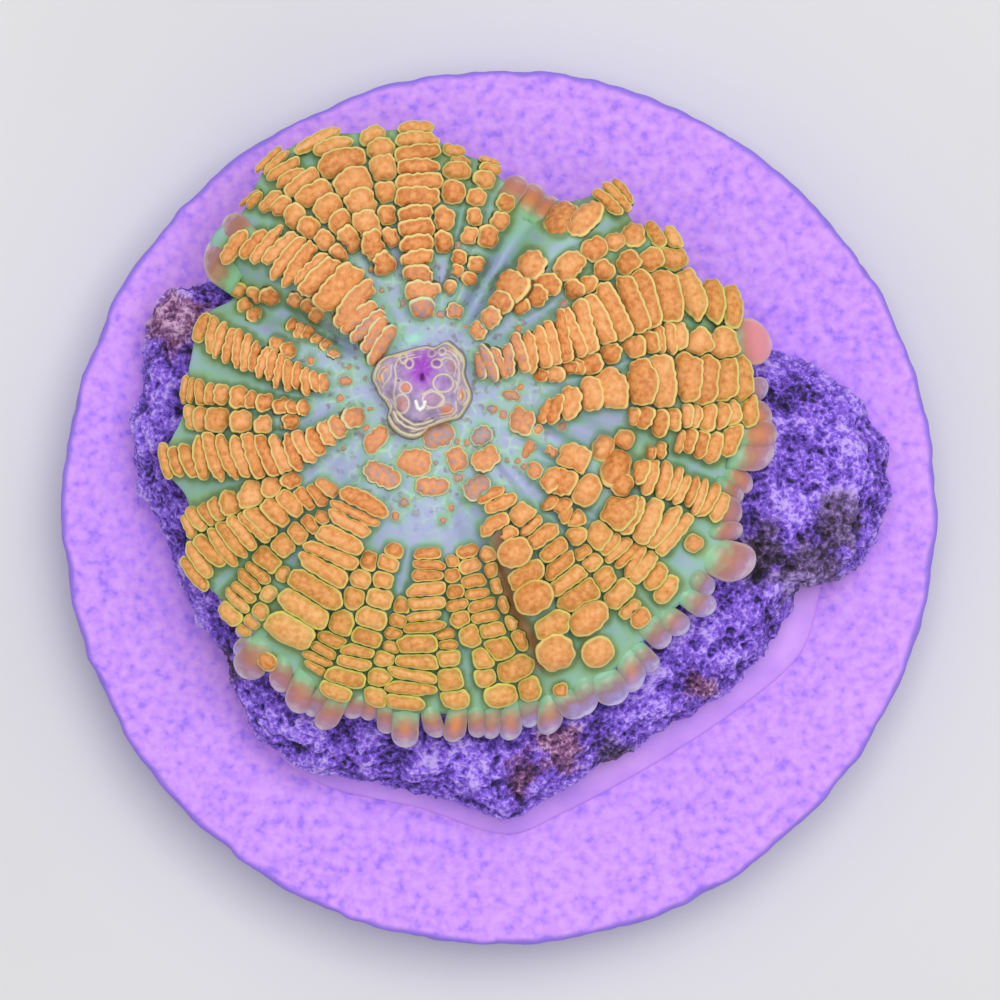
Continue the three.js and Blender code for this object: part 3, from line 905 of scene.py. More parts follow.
# Fingers of the margin: (angle, reach of the tip, width, length, coolness, orange streak, pink)
FINGERS = (
    (55.5, 12.7, 1.1, 2, 0, 0.4, 0), (60.5, 12.8, 1.3, 2.2, 0, 0.5, 0),
    (66, 12.8, 1.1, 2.2, 0, 0.3, 0.1),
    (236, 18.7, 1.1, 1.8, 1, 0, 0), (141.5, 14.6, 1.6, 2.4, 0.1, 0, 0),
    (148.5, 14.5, 2.5, 2.6, 0.15, 0, 0),
    (234, 17.7, 0.9, 2.2, 0.52, 0, 0), (238, 19.5, 1.4, 3, 0.38, 0.2, 0),
    (243.5, 19.2, 1.1, 2.2, 0.38, 0, 0.1), (248, 19.9, 1.3, 2.5, 0.38, 0.3, 0.1),
    (251.5, 19.8, 0.9, 2.2, 0.45, 0, 0), (254, 20.3, 1.2, 2.4, 0.38, 0.2, 0.1),
    (258, 19.3, 0.9, 1.9, 0.45, 0, 0.1), (260.5, 19.2, 0.8, 1.8, 0.38, 0.5, 0),
    (263, 19.8, 0.9, 2, 0.45, 0.2, 0), (266.5, 20.5, 1.5, 2.4, 0.6, 0.6, 0),
    (271, 19.9, 1, 2, 0.45, 0.3, 0), (275, 20.2, 1.1, 2.2, 0.38, 0.9, 0),
    (278.5, 20.1, 0.9, 2, 0.45, 0.3, 0), (281, 20.3, 0.9, 2, 0.6, 0.3, 0),
    (284, 20.6, 1.2, 2.3, 0.75, 0.5, 0), (287.5, 20.2, 1, 2, 0.82, 0, 0),
    (290.5, 20.9, 1.2, 2.3, 0.75, 0.4, 0), (294, 20.7, 1.1, 2.2, 0.82, 0, 0),
    (297, 20.7, 1.2, 2.2, 0.9, 0, 0), (301, 21, 1.7, 2.2, 1, 0, 0),
    (305.5, 20.9, 1.4, 2.3, 0.98, 0.5, 0), (308.5, 20.6, 1, 2, 0.82, 0, 0),
    (312.5, 20, 1.3, 2.1, 0.68, 0.1, 0), (316, 20.2, 1.1, 2, 0.75, 0.3, 0),
    (321, 20.6, 1.1, 2.2, 0.82, 0.2, 0), (324, 19.9, 0.9, 1.9, 0.75, 0, 0),
    (329.5, 21.1, 1.9, 3, 0.45, 0.2, 0.1), (333.5, 19.6, 1, 2, 0.35, 0.2, 0.1),
    (337, 19.2, 1.2, 2, 0.3, 0.3, 0.1), (340.5, 18.9, 1, 1.8, 0.25, 0.1, 0),
    (343, 19.2, 1.1, 2, 0.2, 0.3, 0.1), (347.5, 19.9, 1.6, 2.5, 0.45, 0.2, 0.1),
    (351, 19.9, 1.3, 2.4, 0.1, 0.6, 0.1), (354.5, 19.5, 1.2, 2.2, 0.1, 0.8, 0),
    (358.5, 19.2, 1.3, 2.2, 0.45, 0.2, 0), (363, 18.3, 1, 1.8, 0.1, 0.4, 0),
    (367.3, 19.5, 2.1, 2.6, 0, 0, 0.85),
)


@dataclass
class OralDisc:
    """The bare top of the polyp as a surface: a drooping disc with folds, raised along its rows of lumps."""

    mouth: tuple[float, float] = (-4.1, 7.0)
    level: float = 16.9
    margin: Pairs = (
        (0, 18.2), (8, 18.8), (15, 17.8), (21, 16.4), (31, 16.2), (38, 15), (45, 15.3), (52, 13.1),
        (60, 12.7), (67, 12.2), (75, 13), (83, 13.3), (91, 14.3), (104, 14.7), (115, 15.4), (125, 15.4),
        (137, 14.3), (148, 14.5), (154.5, 12.1), (163, 13.2), (175, 13.5), (188, 14), (197, 15.6),
        (206, 15.2), (218, 17.1), (231, 17.8), (240, 19), (254, 20), (270, 20.2), (285, 20.5),
        (301, 20.9), (315, 20.3), (330, 20.6), (340, 19.2), (350, 19.7),
    )
    droop: Pairs = (
        (0, 2.9), (30, 3.4), (60, 3.4), (100, 3.7), (135, 3.4), (165, 2.9), (200, 2.9), (240, 3), (300, 3),
    )
    fingers: Pairs = (
        (0, 0.07), (25, 0.04), (90, 0.03), (160, 0.03), (215, 0.04), (240, 0.08), (300, 0.09), (340, 0.08),
    )
    # Folds between rows: (angle, width in degrees, depth)
    folds: Triples = (
        (58, 7, 1.9), (154, 7, 1.7), (226, 5, 0.5), (287, 5, 0.7), (343, 5, 0.5),
    )
    droop_power: float = 4.0
    ridge_share: float = 0.5
    pucker: float = 0.07
    pucker_grain: float = 1.1
    slope_step: float = 0.6
    rows: tuple[LumpRow, ...] = LUMP_ROWS

    def __post_init__(self) -> None:
        """Makes the smooth curves round the mouth."""
        self.full_reach = round_the_circle(self.margin)
        self.hang = round_the_circle(self.droop)
        self.notch = round_the_circle(self.fingers)

    def reach(self, angle: Array) -> Array:
        """Reach of the web between the fingers, at each angle."""
        return self.full_reach(angle) * (1 - self.notch(angle))

    def ridge(self, angle: Array, radius: Array) -> Array:
        """Height of the ridges that carry the rows of lumps.

        Args:
            angle: Angles about the mouth.
            radius: Distances from it.

        Returns:
            How far each place is raised.
        """
        raised = np.zeros(np.broadcast(angle, radius).shape)
        for row in self.rows:
            first, last = row.radii()[0], row.radii()[-1]
            turn = np.mod(angle - row.angle(radius) + 180, 360) - 180
            off = np.radians(turn) * radius / row.width(radius)
            start = smooth_step(first - 0.8, first + 0.5, radius)
            end = 1 - smooth_step(last, last + 1.2, radius)
            raised = np.maximum(raised, self.ridge_share * row.rise * bump(off, 0.55, 4) * start * end)
        return raised

    def surface(self, angle: Array, radius: Array) -> Array:
        """Finds points on the disc.

        Args:
            angle: Angles about the mouth.
            radius: Distances from it.

        Returns:
            Rows of x, y and z.
        """
        share = radius / self.full_reach(angle)
        fold = np.zeros(np.shape(share))
        for middle, width, depth in self.folds:
            fold = fold + depth * bump(np.mod(angle - middle + 180, 360) - 180, width)
        fold = fold * smooth_step(0.15, 0.6, share) * (1 - 0.5 * np.minimum(share, 1) ** 6)
        height = self.level - self.hang(angle) * share**self.droop_power - fold + self.ridge(angle, radius)
        turned = np.radians(angle)
        x = self.mouth[0] + radius * np.cos(turned)
        y = self.mouth[1] + radius * np.sin(turned)
        return np.stack(np.broadcast_arrays(x, y, height), axis=-1)

    def slopes(self, angle: float, radius: float) -> tuple[Array, float, float]:
        """Finds a place on the disc and how steep the skin is there.

        Args:
            angle: Angle about the mouth.
            radius: Distance from it.

        Returns:
            The place, and the rise of the skin for each millimetre across the row and out along it.
        """
        step = self.slope_step
        turn = math.degrees(step / radius)
        angles = np.array([angle, angle, angle, angle + turn, angle - turn])
        radii = np.array([radius, radius + step, radius - step, radius, radius])
        place, outer, inner, left, right = self.surface(angles, radii)
        return place, (left[2] - right[2]) / (2 * step), (outer[2] - inner[2]) / (2 * step)


def rounded_ring(width: float, length: float) -> Array:
    """Draws a rounded oblong.

    Args:
        width: Its size across.
        length: Its size along.

    Returns:
        Rows of x and y, anticlockwise and evenly spaced.
    """
    turn = np.linspace(0, 2 * np.pi, OUTLINE_STEPS + 1)
    power = 2 / OUTLINE_SQUARENESS
    x = 0.5 * width * np.sign(np.cos(turn)) * np.abs(np.cos(turn)) ** power
    y = 0.5 * length * np.sign(np.sin(turn)) * np.abs(np.sin(turn)) ** power
    path = np.column_stack([x, y])
    run = np.linalg.norm(np.diff(path, axis=0), axis=1).sum()
    return spaced(path, int(np.clip(run / OUTLINE_SPACING, OUTLINE_FEWEST, OUTLINE_MOST)))


def creased(ring: Array, lobing: tuple[float, float], rng: np.random.Generator) -> tuple[Array, Array]:
    """Draws creases into an outline, which leaves lobes between them.

    Args:
        ring: Rows of x and y, anticlockwise.
        lobing: Size of the lobes and depth of the creases.
        rng: Source of the creases' places.

    Returns:
        The new outline, and the depth of the crease at each point.
    """
    tangent = np.roll(ring, -1, axis=0) - np.roll(ring, 1, axis=0)
    spans = 0.5 * np.linalg.norm(tangent, axis=1)
    place = np.cumsum(spans)
    run = place[-1]
    normal = np.stack([tangent[:, 1], -tangent[:, 0]], axis=-1) / np.maximum(2 * spans, 1e-6)[:, None]
    size, depth = lobing
    count = max(3, round(run / size))
    middles = (np.arange(count) + rng.uniform(-0.35, 0.35, count)) * run / count
    depths = depth * rng.uniform(0.2, 1.6, count)
    off = np.abs((place[:, None] - middles + 0.5 * run) % run - 0.5 * run)
    dip = (depths * bump(off, 0.28 * size)).max(axis=1)
    return ring + normal * (0.35 * depth - dip)[:, None], dip


def cushion(
    centre: Array,
    axes: tuple[Array, Array, Array],
    outline: Array,
    dip: Array,
    height: float,
    form: LumpForm,
) -> tuple[Array, list[tuple[int, ...]], Array]:
    """Makes one closed cushion.

    Args:
        centre: The point that it stands on.
        axes: Vectors across it, along it and up.
        outline: Rows of places across and along, from its middle.
        dip: Depth of the crease at each of them.
        height: Its height.
        form: How its side runs.

    Returns:
        Its points, its faces, and each point's place from the crown, 0, past the rim, 1, to the foot, 2.
    """
    across, along, up = axes
    half = np.abs(outline).max(axis=0)
    points, places = [], []
    for inset, most, rise, place in reversed(form.value):
        x, y = (outline * (1 - min(inset, most * half.min()) / half)).T
        lift = height * rise - dip * place**4 * (place < 1)
        points.append(centre + np.outer(x, across) + np.outer(y, along) + np.outer(lift, up))
        places.append(np.full(len(outline), place))
    points.append(np.array([centre + form.value[-1][2] * height * up, centre + height * up]))
    places.append(np.array([2.0, 0.0]))
    return np.concatenate(points), closed_faces(len(form.value), len(outline)), np.concatenate(places)


def outline_points(corners: Pairs, count: int) -> Array:
    """Runs a smooth closed curve through corners.

    Args:
        corners: Places in plan, in order.
        count: Number of points wanted.

    Returns:
        Rows of x and y, evenly spaced along the curve.
    """
    ring = np.array(corners, float)
    part = np.linspace(0, 1, CURVE_STEPS, endpoint=False)[:, None]
    fine = []
    for index in range(len(ring)):
        before, start, end, after = (ring[(index + step) % len(ring)] for step in (-1, 0, 1, 2))
        bend = 2 * before - 5 * start + 4 * end - after
        twist = 3 * (start - end) + after - before
        fine.append(start + 0.5 * part * (end - before + part * (bend + part * twist)))
    return spaced(np.concatenate([*fine, ring[:1]]), count)


def distance_to(path: Array, plan: Array) -> Array:
    """Measures how far points are from a path of straight runs.

    Args:
        path: Rows of x and y along the path.
        plan: Rows of x and y of the points.

    Returns:
        The distance of each point.
    """
    nearest = np.full(len(plan), np.inf)
    for start, end in zip(path[:-1], path[1:]):
        run = end - start
        share = np.clip((plan - start) @ run / (run @ run), 0, 1)
        nearest = np.minimum(nearest, np.linalg.norm(plan - start - share[:, None] * run, axis=1))
    return nearest


@dataclass(frozen=True)
class Lobe:
    """A small lobe on the mouth cone: its place from the mouth, its half sizes, and what fills it."""

    x: float
    y: float
    half_width: float
    half_length: float
    warm: float = 0.0
    purple: float = 0.0
    shade: float = 0.0
    rim: float = 1.0


@dataclass
class Mouth:
    """The raised mouth: a cone with a scalloped edge, folds on its lower side, and lobes round the slit."""

    disc: OralDisc
    centre: tuple[float, float] = (-0.2, -0.4)
    outline: Pairs = (
        (-1.86, 1.47), (-2.23, 1.37), (-2.62, 1.05), (-2.85, 0.59), (-2.92, 0.13), (-2.69, -0.33),
        (-2.55, -0.7), (-2.23, -1.07), (-2.0, -1.53), (-2.09, -1.99), (-1.91, -2.45), (-1.45, -2.87),
        (-0.85, -3.1), (-0.3, -3.0), (0.21, -2.54), (1.18, -2.18), (1.83, -1.99), (2.24, -1.44),
        (2.47, -0.98), (2.47, -0.52), (2.24, 0.04), (2.12, 0.5), (2.19, 0.96), (2.1, 1.4), (1.8, 1.74),
        (1.5, 2.02), (1.15, 2.2), (0.75, 2.02), (0.45, 1.88), (0.07, 1.95), (-0.39, 1.88), (-1.03, 1.7),
    )
    profile: Pairs = (
        (1.1, -0.6), (1.04, 0.1), (1.01, 0.8), (0.99, 1.15), (0.96, 1.3), (0.88, 1.45), (0.6, 2.05),
        (0.3, 2.35), (0.02, 2.4),
    )
    folds: tuple[Pairs, ...] = (
        ((-1.59, -1.71), (-1.22, -2.08), (-0.66, -2.41), (-0.11, -2.36), (0.35, -2.18)),
        ((-1.77, -1.67), (-1.59, -2.13), (-1.12, -2.5), (-0.48, -2.68), (0.07, -2.54)),
        ((-2.05, -1.95), (-1.82, -2.41), (-1.4, -2.78), (-0.85, -3.02), (-0.3, -2.93), (0.07, -2.68)),
    )
    creases: tuple[Pairs, ...] = (
        ((-1.68, -1.16), (-1.77, -0.7), (-1.63, 0.22), (-1.72, 0.77), (-1.45, 1.42)),
        ((1.69, -1.16), (1.73, -1.62), (1.27, -2.04)),
        ((1.83, 0.77), (1.92, 0.45), (1.8, -0.2), (1.62, -0.6)),
        ((0.72, 1.97), (1.18, 2.3), (1.69, 1.74), (1.75, 1.2)),
        ((-1.9, 0.9), (-1.95, 0.3), (-2.4, -0.35)),
        ((0.85, 1.2), (1.2, 1.35), (1.6, 1.15), (1.75, 0.75)),
        ((-0.2, -0.72), (0.3, -0.45), (0.72, -0.7), (1.05, -1.0), (0.6, -1.45), (0.1, -1.52)),
    )
    curl: Pairs = ((-0.53, -1.12), (-0.43, -1.48), (-0.3, -1.58), (-0.11, -1.44), (-0.02, -1.16))
    lobes: tuple[Lobe, ...] = (
        Lobe(-1.1, -0.36, 0.34, 0.32, warm=0.9), Lobe(0.63, 1.0, 0.3, 0.25, shade=0.45, purple=0.8),
        Lobe(0.99, -0.1, 0.56, 0.5, purple=0.3), Lobe(0.44, -1.02, 0.6, 0.45, warm=0.15),
        Lobe(-1.31, -1.25, 0.4, 0.52, warm=0.5), Lobe(1.18, -1.58, 0.5, 0.42, warm=0.75, rim=0.3),
        Lobe(-0.9, 1.0, 0.22, 0.27, purple=0.6, shade=0.3), Lobe(-1.22, 1.28, 0.2, 0.26, shade=0.3),
        Lobe(0.35, 1.56, 0.2, 0.2, shade=0.45, purple=0.6, rim=0.4), Lobe(0.93, 1.67, 0.2, 0.2, shade=0.4),
        Lobe(1.41, 0.87, 0.36, 0.4, warm=0.25, rim=0.3), Lobe(-1.49, 0.04, 0.14, 0.12, shade=0.7, rim=0.4),
        Lobe(-2.5, 0.2, 0.2, 0.32, warm=1.0, rim=0.3), Lobe(-2.27, 0.7, 0.28, 0.3, warm=0.6, rim=0.3),
        Lobe(1.99, -0.75, 0.2, 0.46, warm=1.0, rim=0.4), Lobe(1.35, 1.75, 0.18, 0.25, warm=0.35, rim=0.2),
    )
    slit: Pairs = ((-0.21, 0.32), (-0.21, 0.14))
    slit_width: float = 0.06
    star_at: tuple[float, float] = (-0.2, 0.68)
    star_size: tuple[float, float] = (0.9, 1.25)
    star_rays: int = 9
    # Rippled lines inside the lip: (share of the way out, strength)
    ripples: Pairs = ((0.93, 0.9), (0.86, 0.8), (0.78, 0.7))
    ripple: float = 0.06
    ripple_grain: float = 0.9
    lip: float = 0.985
    line: float = 0.06
    thin_line: float = 0.048
    curl_width: float = 0.11
    lobe_height: float = 0.14
    mean_radius: float = 2.6
    columns: int = 300
    ring_count: int = 90

    def build(self) -> None:
        """Makes the mouth cone, with its lines and spots worked out at every point."""
        rim = outline_points(self.outline, self.columns)
        centre = np.array(self.centre)
        stretch = np.array([self.mean_radius, 1])
        share, level = (spaced(np.array(self.profile) * stretch, self.ring_count, closed=False) / stretch).T
        plan = (centre + (rim - centre) * share[:, None, None]).reshape(-1, 2)
        plan = np.concatenate([plan, [centre, centre]])
        height = np.concatenate([np.repeat(level, self.columns), level[[0, -1]]])
        far = np.concatenate([np.repeat(share, self.columns), [share[0], 0]])
        values = {label: np.zeros(len(plan)) for label in ("warm", "purple", "shade", "white")}
        pale = bump(far - self.lip, 0.025)
        ripple = noise_at(np.column_stack([plan, far]), self.ripple_grain, 2)
        for inner, strength in self.ripples:
            fold = bump(far - inner - self.ripple * ripple, 0.016)
            pale = np.maximum(pale, strength * fold * smooth_step(-0.15, 0.15, ripple))
        for stroke in self.folds:
            off = distance_to(np.array(stroke), plan)
            pale = np.maximum(pale, bump(off, self.line))
            # Painted shade in the crease beside each fold.
            values["shade"] = np.maximum(values["shade"], 0.6 * bump(off - 0.13, 0.07))
        for stroke in self.creases:
            pale = np.maximum(pale, 0.75 * bump(distance_to(np.array(stroke), plan), self.thin_line))
        for lobe in self.lobes:
            half = np.array([lobe.half_width, lobe.half_length])
            reach = np.linalg.norm((plan - (lobe.x, lobe.y)) / half, axis=1)
            pale = np.maximum(pale, 0.8 * lobe.rim * bump((reach - 1) * half.min(), self.thin_line))
            height += self.lobe_height * np.clip(1 - reach**2, 0, 1)
            inside = 1 - smooth_step(0.45, 0.95, reach)
            for label, amount in (("warm", lobe.warm), ("purple", lobe.purple), ("shade", lobe.shade)):
                values[label] = np.maximum(values[label], amount * inside)
        away = plan - self.star_at
        ray = 0.85 + 0.15 * np.cos(self.star_rays * np.arctan2(away[:, 1], away[:, 0]))
        star = ray * np.exp(-((away / self.star_size) ** 2).sum(axis=1))
        values["purple"] = np.maximum(values["purple"], np.clip(1.3 * star, 0, 1))
        # Painted shade in the slit.
        slit = distance_to(np.array(self.slit), plan)
        values["shade"] = np.maximum(values["shade"], bump(slit, self.slit_width))
        values["white"] = bump(distance_to(np.array(self.curl), plan), self.curl_width, 4)
        height += 0.09 * pale + 0.14 * values["white"] - 0.1 * values["shade"]
        height -= 0.35 * bump(slit, 2 * self.slit_width) + 0.25 * star
        olive = 0.7 * smooth_step(0.86, 1.0, far)
        points = np.column_stack([plan + self.disc.mouth, height + self.disc.level])
        parts = MeshParts()
        parts.add(points, closed_faces(self.ring_count, self.columns), pale=pale, olive=olive, **values)
        parts.build("polyp_mouth", MouthSkin(), "polyp_tissue")


@dataclass
class Polyp:
    """The coral itself: its skin, its lumps, the fingers of its margin and its mouth."""

    disc: OralDisc = field(default_factory=OralDisc)
    seed: int = 11
    columns: int = 540
    top_rings: int = 96
    inner_radius: float = 1.6
    skin_thickness: float = 0.8
    # Rings under the margin: (share of the way in to the mouth, share of the skin's thickness down)
    hem: Pairs = ((-0.012, 0.25), (-0.006, 0.6), (0.02, 1.0), (0.08, 1.15), (0.2, 0.9))
    column_centre: tuple[float, float] = (-1.9, 3.7)
    column_rings: Pairs = ((8.1, 15.3), (7.6, 14.0), (8.1, 13.4), (9.0, 13.02))
    mint: tuple[float, float] = (-4.75, 9.4)
    # The painted shadow along the overhang of the big row near 295 degrees: its path in x and y of the disc,
    # the width kept clear of lumps beside it, and how far the painted shadow spreads.
    ridge_shadow_band: Pairs = ((0.0, -1.6), (0.18, -3.9), (0.93, -6.1), (1.5, -7.0), (2.0, -7.7), (2.3, -8.6))
    band_width: float = 0.22
    ridge_shadow_spread: float = 0.5
    # From side by side, low on the disc, to overlapping: the sine of the lump's angle
    overlap_from: tuple[float, float] = (-0.95, -0.45)
    # How unevenly the lumps and fingers grow
    place_jitter: float = 0.1
    width_spread: tuple[float, float] = (0.86, 1.12)
    length_spread: tuple[float, float] = (0.95, 1.05)
    yaw_spread: float = 11.0
    lean_spread: tuple[float, float] = (0.85, 1.15)
    tone_spread: float = 0.5
    bulge_spread: tuple[float, float] = (-0.12, 0.18)
    bend_spread: float = 2.0
    plate_lobe: float = 0.6
    bulb_stretch: float = 1.05
    bulb_lean: float = 0.09
    lower_bulb_lobing: tuple[float, float] = (0.9, 0.07)
    upper_bulb_lobing: tuple[float, float] = (0.7, 0.11)
    patch_height: float = 0.28
    patch_lobing: tuple[float, float] = (0.5, 0.1)
    small_patches: int = 150
    small_patch_height: float = 0.16
    joining: float = 0.5
    swell: float = 1.34
    gap: float = 0.045
    settle: float = 0.65
    finger_places: tuple[float, ...] = (0, 0.1, 0.22, 0.36, 0.5, 0.63, 0.74, 0.83, 0.9, 0.95, 0.985, 0.998)
    finger_columns: int = 20
    finger_widening: float = 1.25

    def __post_init__(self) -> None:
        """Places every lump."""
        self.rng = np.random.default_rng(self.seed)
        self.lumps = self.place_lumps()

    def plate(self, row: LumpRow, number: int, radius: float, gap: float) -> Lump:
        """Draws one lump of a row, as unevenly as they grow.

        Args:
            row: The row.
            number: The row's number.
            radius: The lump's distance from the mouth.
            gap: The distance from lump to lump there.

        Returns:
            The lump.
        """
        shift = self.rng.uniform(-self.place_jitter, self.place_jitter)
        angle = float(row.angle(radius)) + math.degrees(shift / radius)
        scaly = float(smooth_step(*self.overlap_from, math.sin(math.radians(angle))))
        width = (1.22 - 0.06 * scaly) * float(row.width(radius)) * self.rng.uniform(*self.width_spread)
        length = min((1.2 + 0.2 * scaly) * gap, 1.1 * width) * self.rng.uniform(*self.length_spread)
        height = 0.34 + 0.3 * length
        crease = (0.045 + 0.03 * scaly) * float(np.interp(radius, (8, 15), (1.2, 0.7)))
        warm = float(np.clip((radius - 3.2) / 3.0, 0.25, 1))
        tilt = 0.08 + 0.42 * scaly * height / gap
        yaw = self.rng.uniform(-self.yaw_spread, self.yaw_spread)
        lobing = (self.plate_lobe, crease)
        overlapping = number if scaly > 0.5 else -1
        size = (width, length, height)
        return Lump(angle, radius, *size, LumpForm.PLATE, warm, tilt, lobing, yaw, overlapping)

    def place_lumps(self) -> list[Lump]:
        """Lays out the rows, then sets the swollen lumps in place of those that they cover.

        Returns:
            Every lump on the oral disc.
        """
        lumps = []
        for number, row in enumerate(self.disc.rows):
            radii = self.thinned(row)
            for radius, gap in zip(radii, np.gradient(radii)):
                lumps.append(self.plate(row, number, float(radius), gap))
        for angle, radius, width, length, height in BULBS:
            lobing = self.lower_bulb_lobing if angle > 180 else self.upper_bulb_lobing
            tall = self.bulb_stretch * height
            bulb = Lump(angle, radius, width, length, tall, LumpForm.BULB, tilt=self.bulb_lean, lobing=lobing)
            lumps = [lump for lump in lumps if bulb.share(lump.middle()) > 1.1] + [bulb]
        for x, y, width, length, warm in PATCHES:
            angle, radius = math.degrees(math.atan2(y, x)), math.hypot(x, y)
            size = (width, length, self.patch_height)
            spot = Lump(angle, radius, *size, LumpForm.PATCH, 0.7 * warm, lobing=self.patch_lobing)
            lumps = [lump for lump in lumps if spot.share(lump.middle()) > 0.8] + [spot]
        for _ in range(self.small_patches):
            angle, radius = self.rng.uniform(0, 360), self.rng.uniform(3.3, 9.0)
            size = self.rng.uniform(0.35, 0.65)
            warm = max(self.rng.uniform(-0.4, 0.6), 0)
            spot = Lump(angle, radius, size, size, self.small_patch_height, LumpForm.PATCH, warm)
            if all(spot.apart(lump) > 0.42 * (lump.width + size) for lump in lumps):
                lumps.append(spot)
        return lumps

    def thinned(self, row: LumpRow) -> Array:
        """Joins some of a broad row's thin lumps into thicker ones, as unevenly as they grow.

        Args:
            row: The row.

        Returns:
            The radii of the lumps that are left.
        """
        kept = list(row.radii())
        for place in range(len(kept) - 3, 1, -2):
            span = kept[place + 1] - kept[place - 1]
            if span < 0.52 * float(row.width(kept[place])) and self.rng.uniform() < self.joining:
                del kept[place]
        return np.array(kept)

    def outline(self, lump: Lump) -> Array:
        """Swells a lump until it meets the next row, which it does only where that is close.

        Args:
            lump: The lump. A bulb isn't held back by the others.

        Returns:
            Rows of places across it and in towards the mouth, from its middle.
        """
        ring = rounded_ring(lump.width, lump.length)
        if lump.form is LumpForm.BULB:
            return ring
        shares = np.linspace(0.3, self.swell, 40)[:, None]
        across, inward = lump.axes()
        plan = lump.middle() + (ring @ np.array([across, inward])) * shares[..., None]
        limit = np.full(len(ring), self.swell)
        # Lumps stop short of the painted shadow band along the big row's overhang.
        band = distance_to(np.array(self.ridge_shadow_band) - np.array(self.disc.mouth), plan.reshape(-1, 2))
        walls = [band.reshape(plan.shape[:2]) < self.band_width]
        for other in self.lumps:
            span = 0.8 * (max(lump.width, lump.length) + max(other.width, other.length))
            same_row = other.row == lump.row >= 0
            if other is lump or same_row or lump.apart(other) > span:
                continue
            walls.append(other.share(plan) < (0.95 if other.form is LumpForm.BULB else shares))
        for wall in walls:
            met = np.minimum(limit, shares[np.argmax(wall, axis=0), 0])
            limit = np.where(wall.any(axis=0), met, limit)
        limit = np.where(limit >= self.swell, 1.0, limit)
        for _ in range(5):
            limit = 0.25 * np.roll(limit, 1) + 0.5 * limit + 0.25 * np.roll(limit, -1)
        reach = np.linalg.norm(ring, axis=1)
        return ring * np.maximum(limit - self.gap / reach, 0.25)[:, None]

    def clearance(self, points: Array, batch: int = 4000) -> Array:
        """How far each point is from the nearest lump, in plan.

        Args:
            points: Rows of x, y and z.
            batch: How many points are measured at once.

        Returns:
            The distance in millimetres, less than 0 under a lump.
        """
        angles = np.radians([lump.angle for lump in self.lumps])
        middles = np.array([lump.middle() for lump in self.lumps]) + self.disc.mouth
        halves = 0.5 * np.array([(lump.length, lump.width) for lump in self.lumps])
        corner = 0.7 * halves.min(axis=1)
        closest = []
        for start in range(0, len(points), batch):
            x, y = (points[start : start + batch, None, :2] - middles).transpose(2, 0, 1)
            out = np.abs(x * np.cos(angles) + y * np.sin(angles))
            across = np.abs(y * np.cos(angles) - x * np.sin(angles))
            long = np.maximum(out - halves[:, 0] + corner, 0)
            wide = np.maximum(across - halves[:, 1] + corner, 0)
            closest.append((np.hypot(long, wide) - corner).min(axis=1))
        return np.concatenate(closest)

    def build_skin(self) -> None:
        """Makes the skin: oral disc, margin, underside and column, closed under the foot."""
        angles = np.linspace(0, 360, self.columns, endpoint=False)
        span = self.disc.reach(angles) - self.inner_radius
        shares = np.linspace(0, 1, self.top_rings) ** 0.85
        radii = [self.inner_radius + span * share for share in shares]
        top = np.concatenate([self.disc.surface(angles, radius) for radius in radii])
        top[:, 2] += self.disc.pucker * noise_at(top, self.disc.pucker_grain, 2)
        edge = top[-self.columns :]
        below = []
        for inward, drop in self.hem:
            plan = edge[:, :2] + (self.disc.mouth - edge[:, :2]) * inward
            below.append(np.column_stack([plan, edge[:, 2] - drop * self.skin_thickness]))
        away = edge[:, :2] - self.column_centre
        away /= np.linalg.norm(away, axis=1, keepdims=True)
        for radius, height in self.column_rings:
            below.append(np.column_stack([self.column_centre + radius * away, np.full(self.columns, height)]))
        crown = [*self.disc.mouth, self.disc.level]
        foot = [*self.column_centre, self.column_rings[-1][1]]
        points = np.concatenate([top, *below, [crown, foot]])
        plan = points[:, :2]
        x, y = (plan - self.disc.mouth).T
        off = np.hypot(x, y)
        angle = np.degrees(np.arctan2(y, x))
        share = off / self.disc.full_reach(angle)
        wisp = noise_at(np.column_stack([angle * 0.25, off * 0.35, np.zeros(len(off))]), 1.0, 2)
        clear = self.clearance(points)
        near = 1 - smooth_step(-0.1, 0.75, clear)
        green = np.clip(0.6 * near**2 + 0.45 * smooth_step(0.45, 0.95, share) + 0.35 * wisp, 0, 1)
        # Painted shade: the tissue is darkened in the narrow gaps beside lumps.
        shade = 0.45 * (1 - smooth_step(0.0, 0.22, clear)) * smooth_step(0.3, 0.6, share)
        inner = 1 - smooth_step(6.0, 9.5, off)
        mint_x, mint_y = (plan - self.mint).T
        mint = 0.9 * bump(mint_x + 0.4 * mint_y, 0.75) * bump(mint_y - 0.4 * mint_x, 0.32)
        # Painted shadow along the overhang of the big row.
        brown = 0.85 * bump(distance_to(np.array(self.ridge_shadow_band), plan), self.ridge_shadow_spread)
        parts = MeshParts()
        faces = [face[::-1] for face in closed_faces(self.top_rings + len(below), self.columns)]
        parts.add(points, faces, green=green, inner=inner, mint=mint, shade=shade, brown=brown)
        skin = parts.build("polyp_skin", GrownTissue(), "polyp_tissue")
        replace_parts(skin, "coral_polyp")

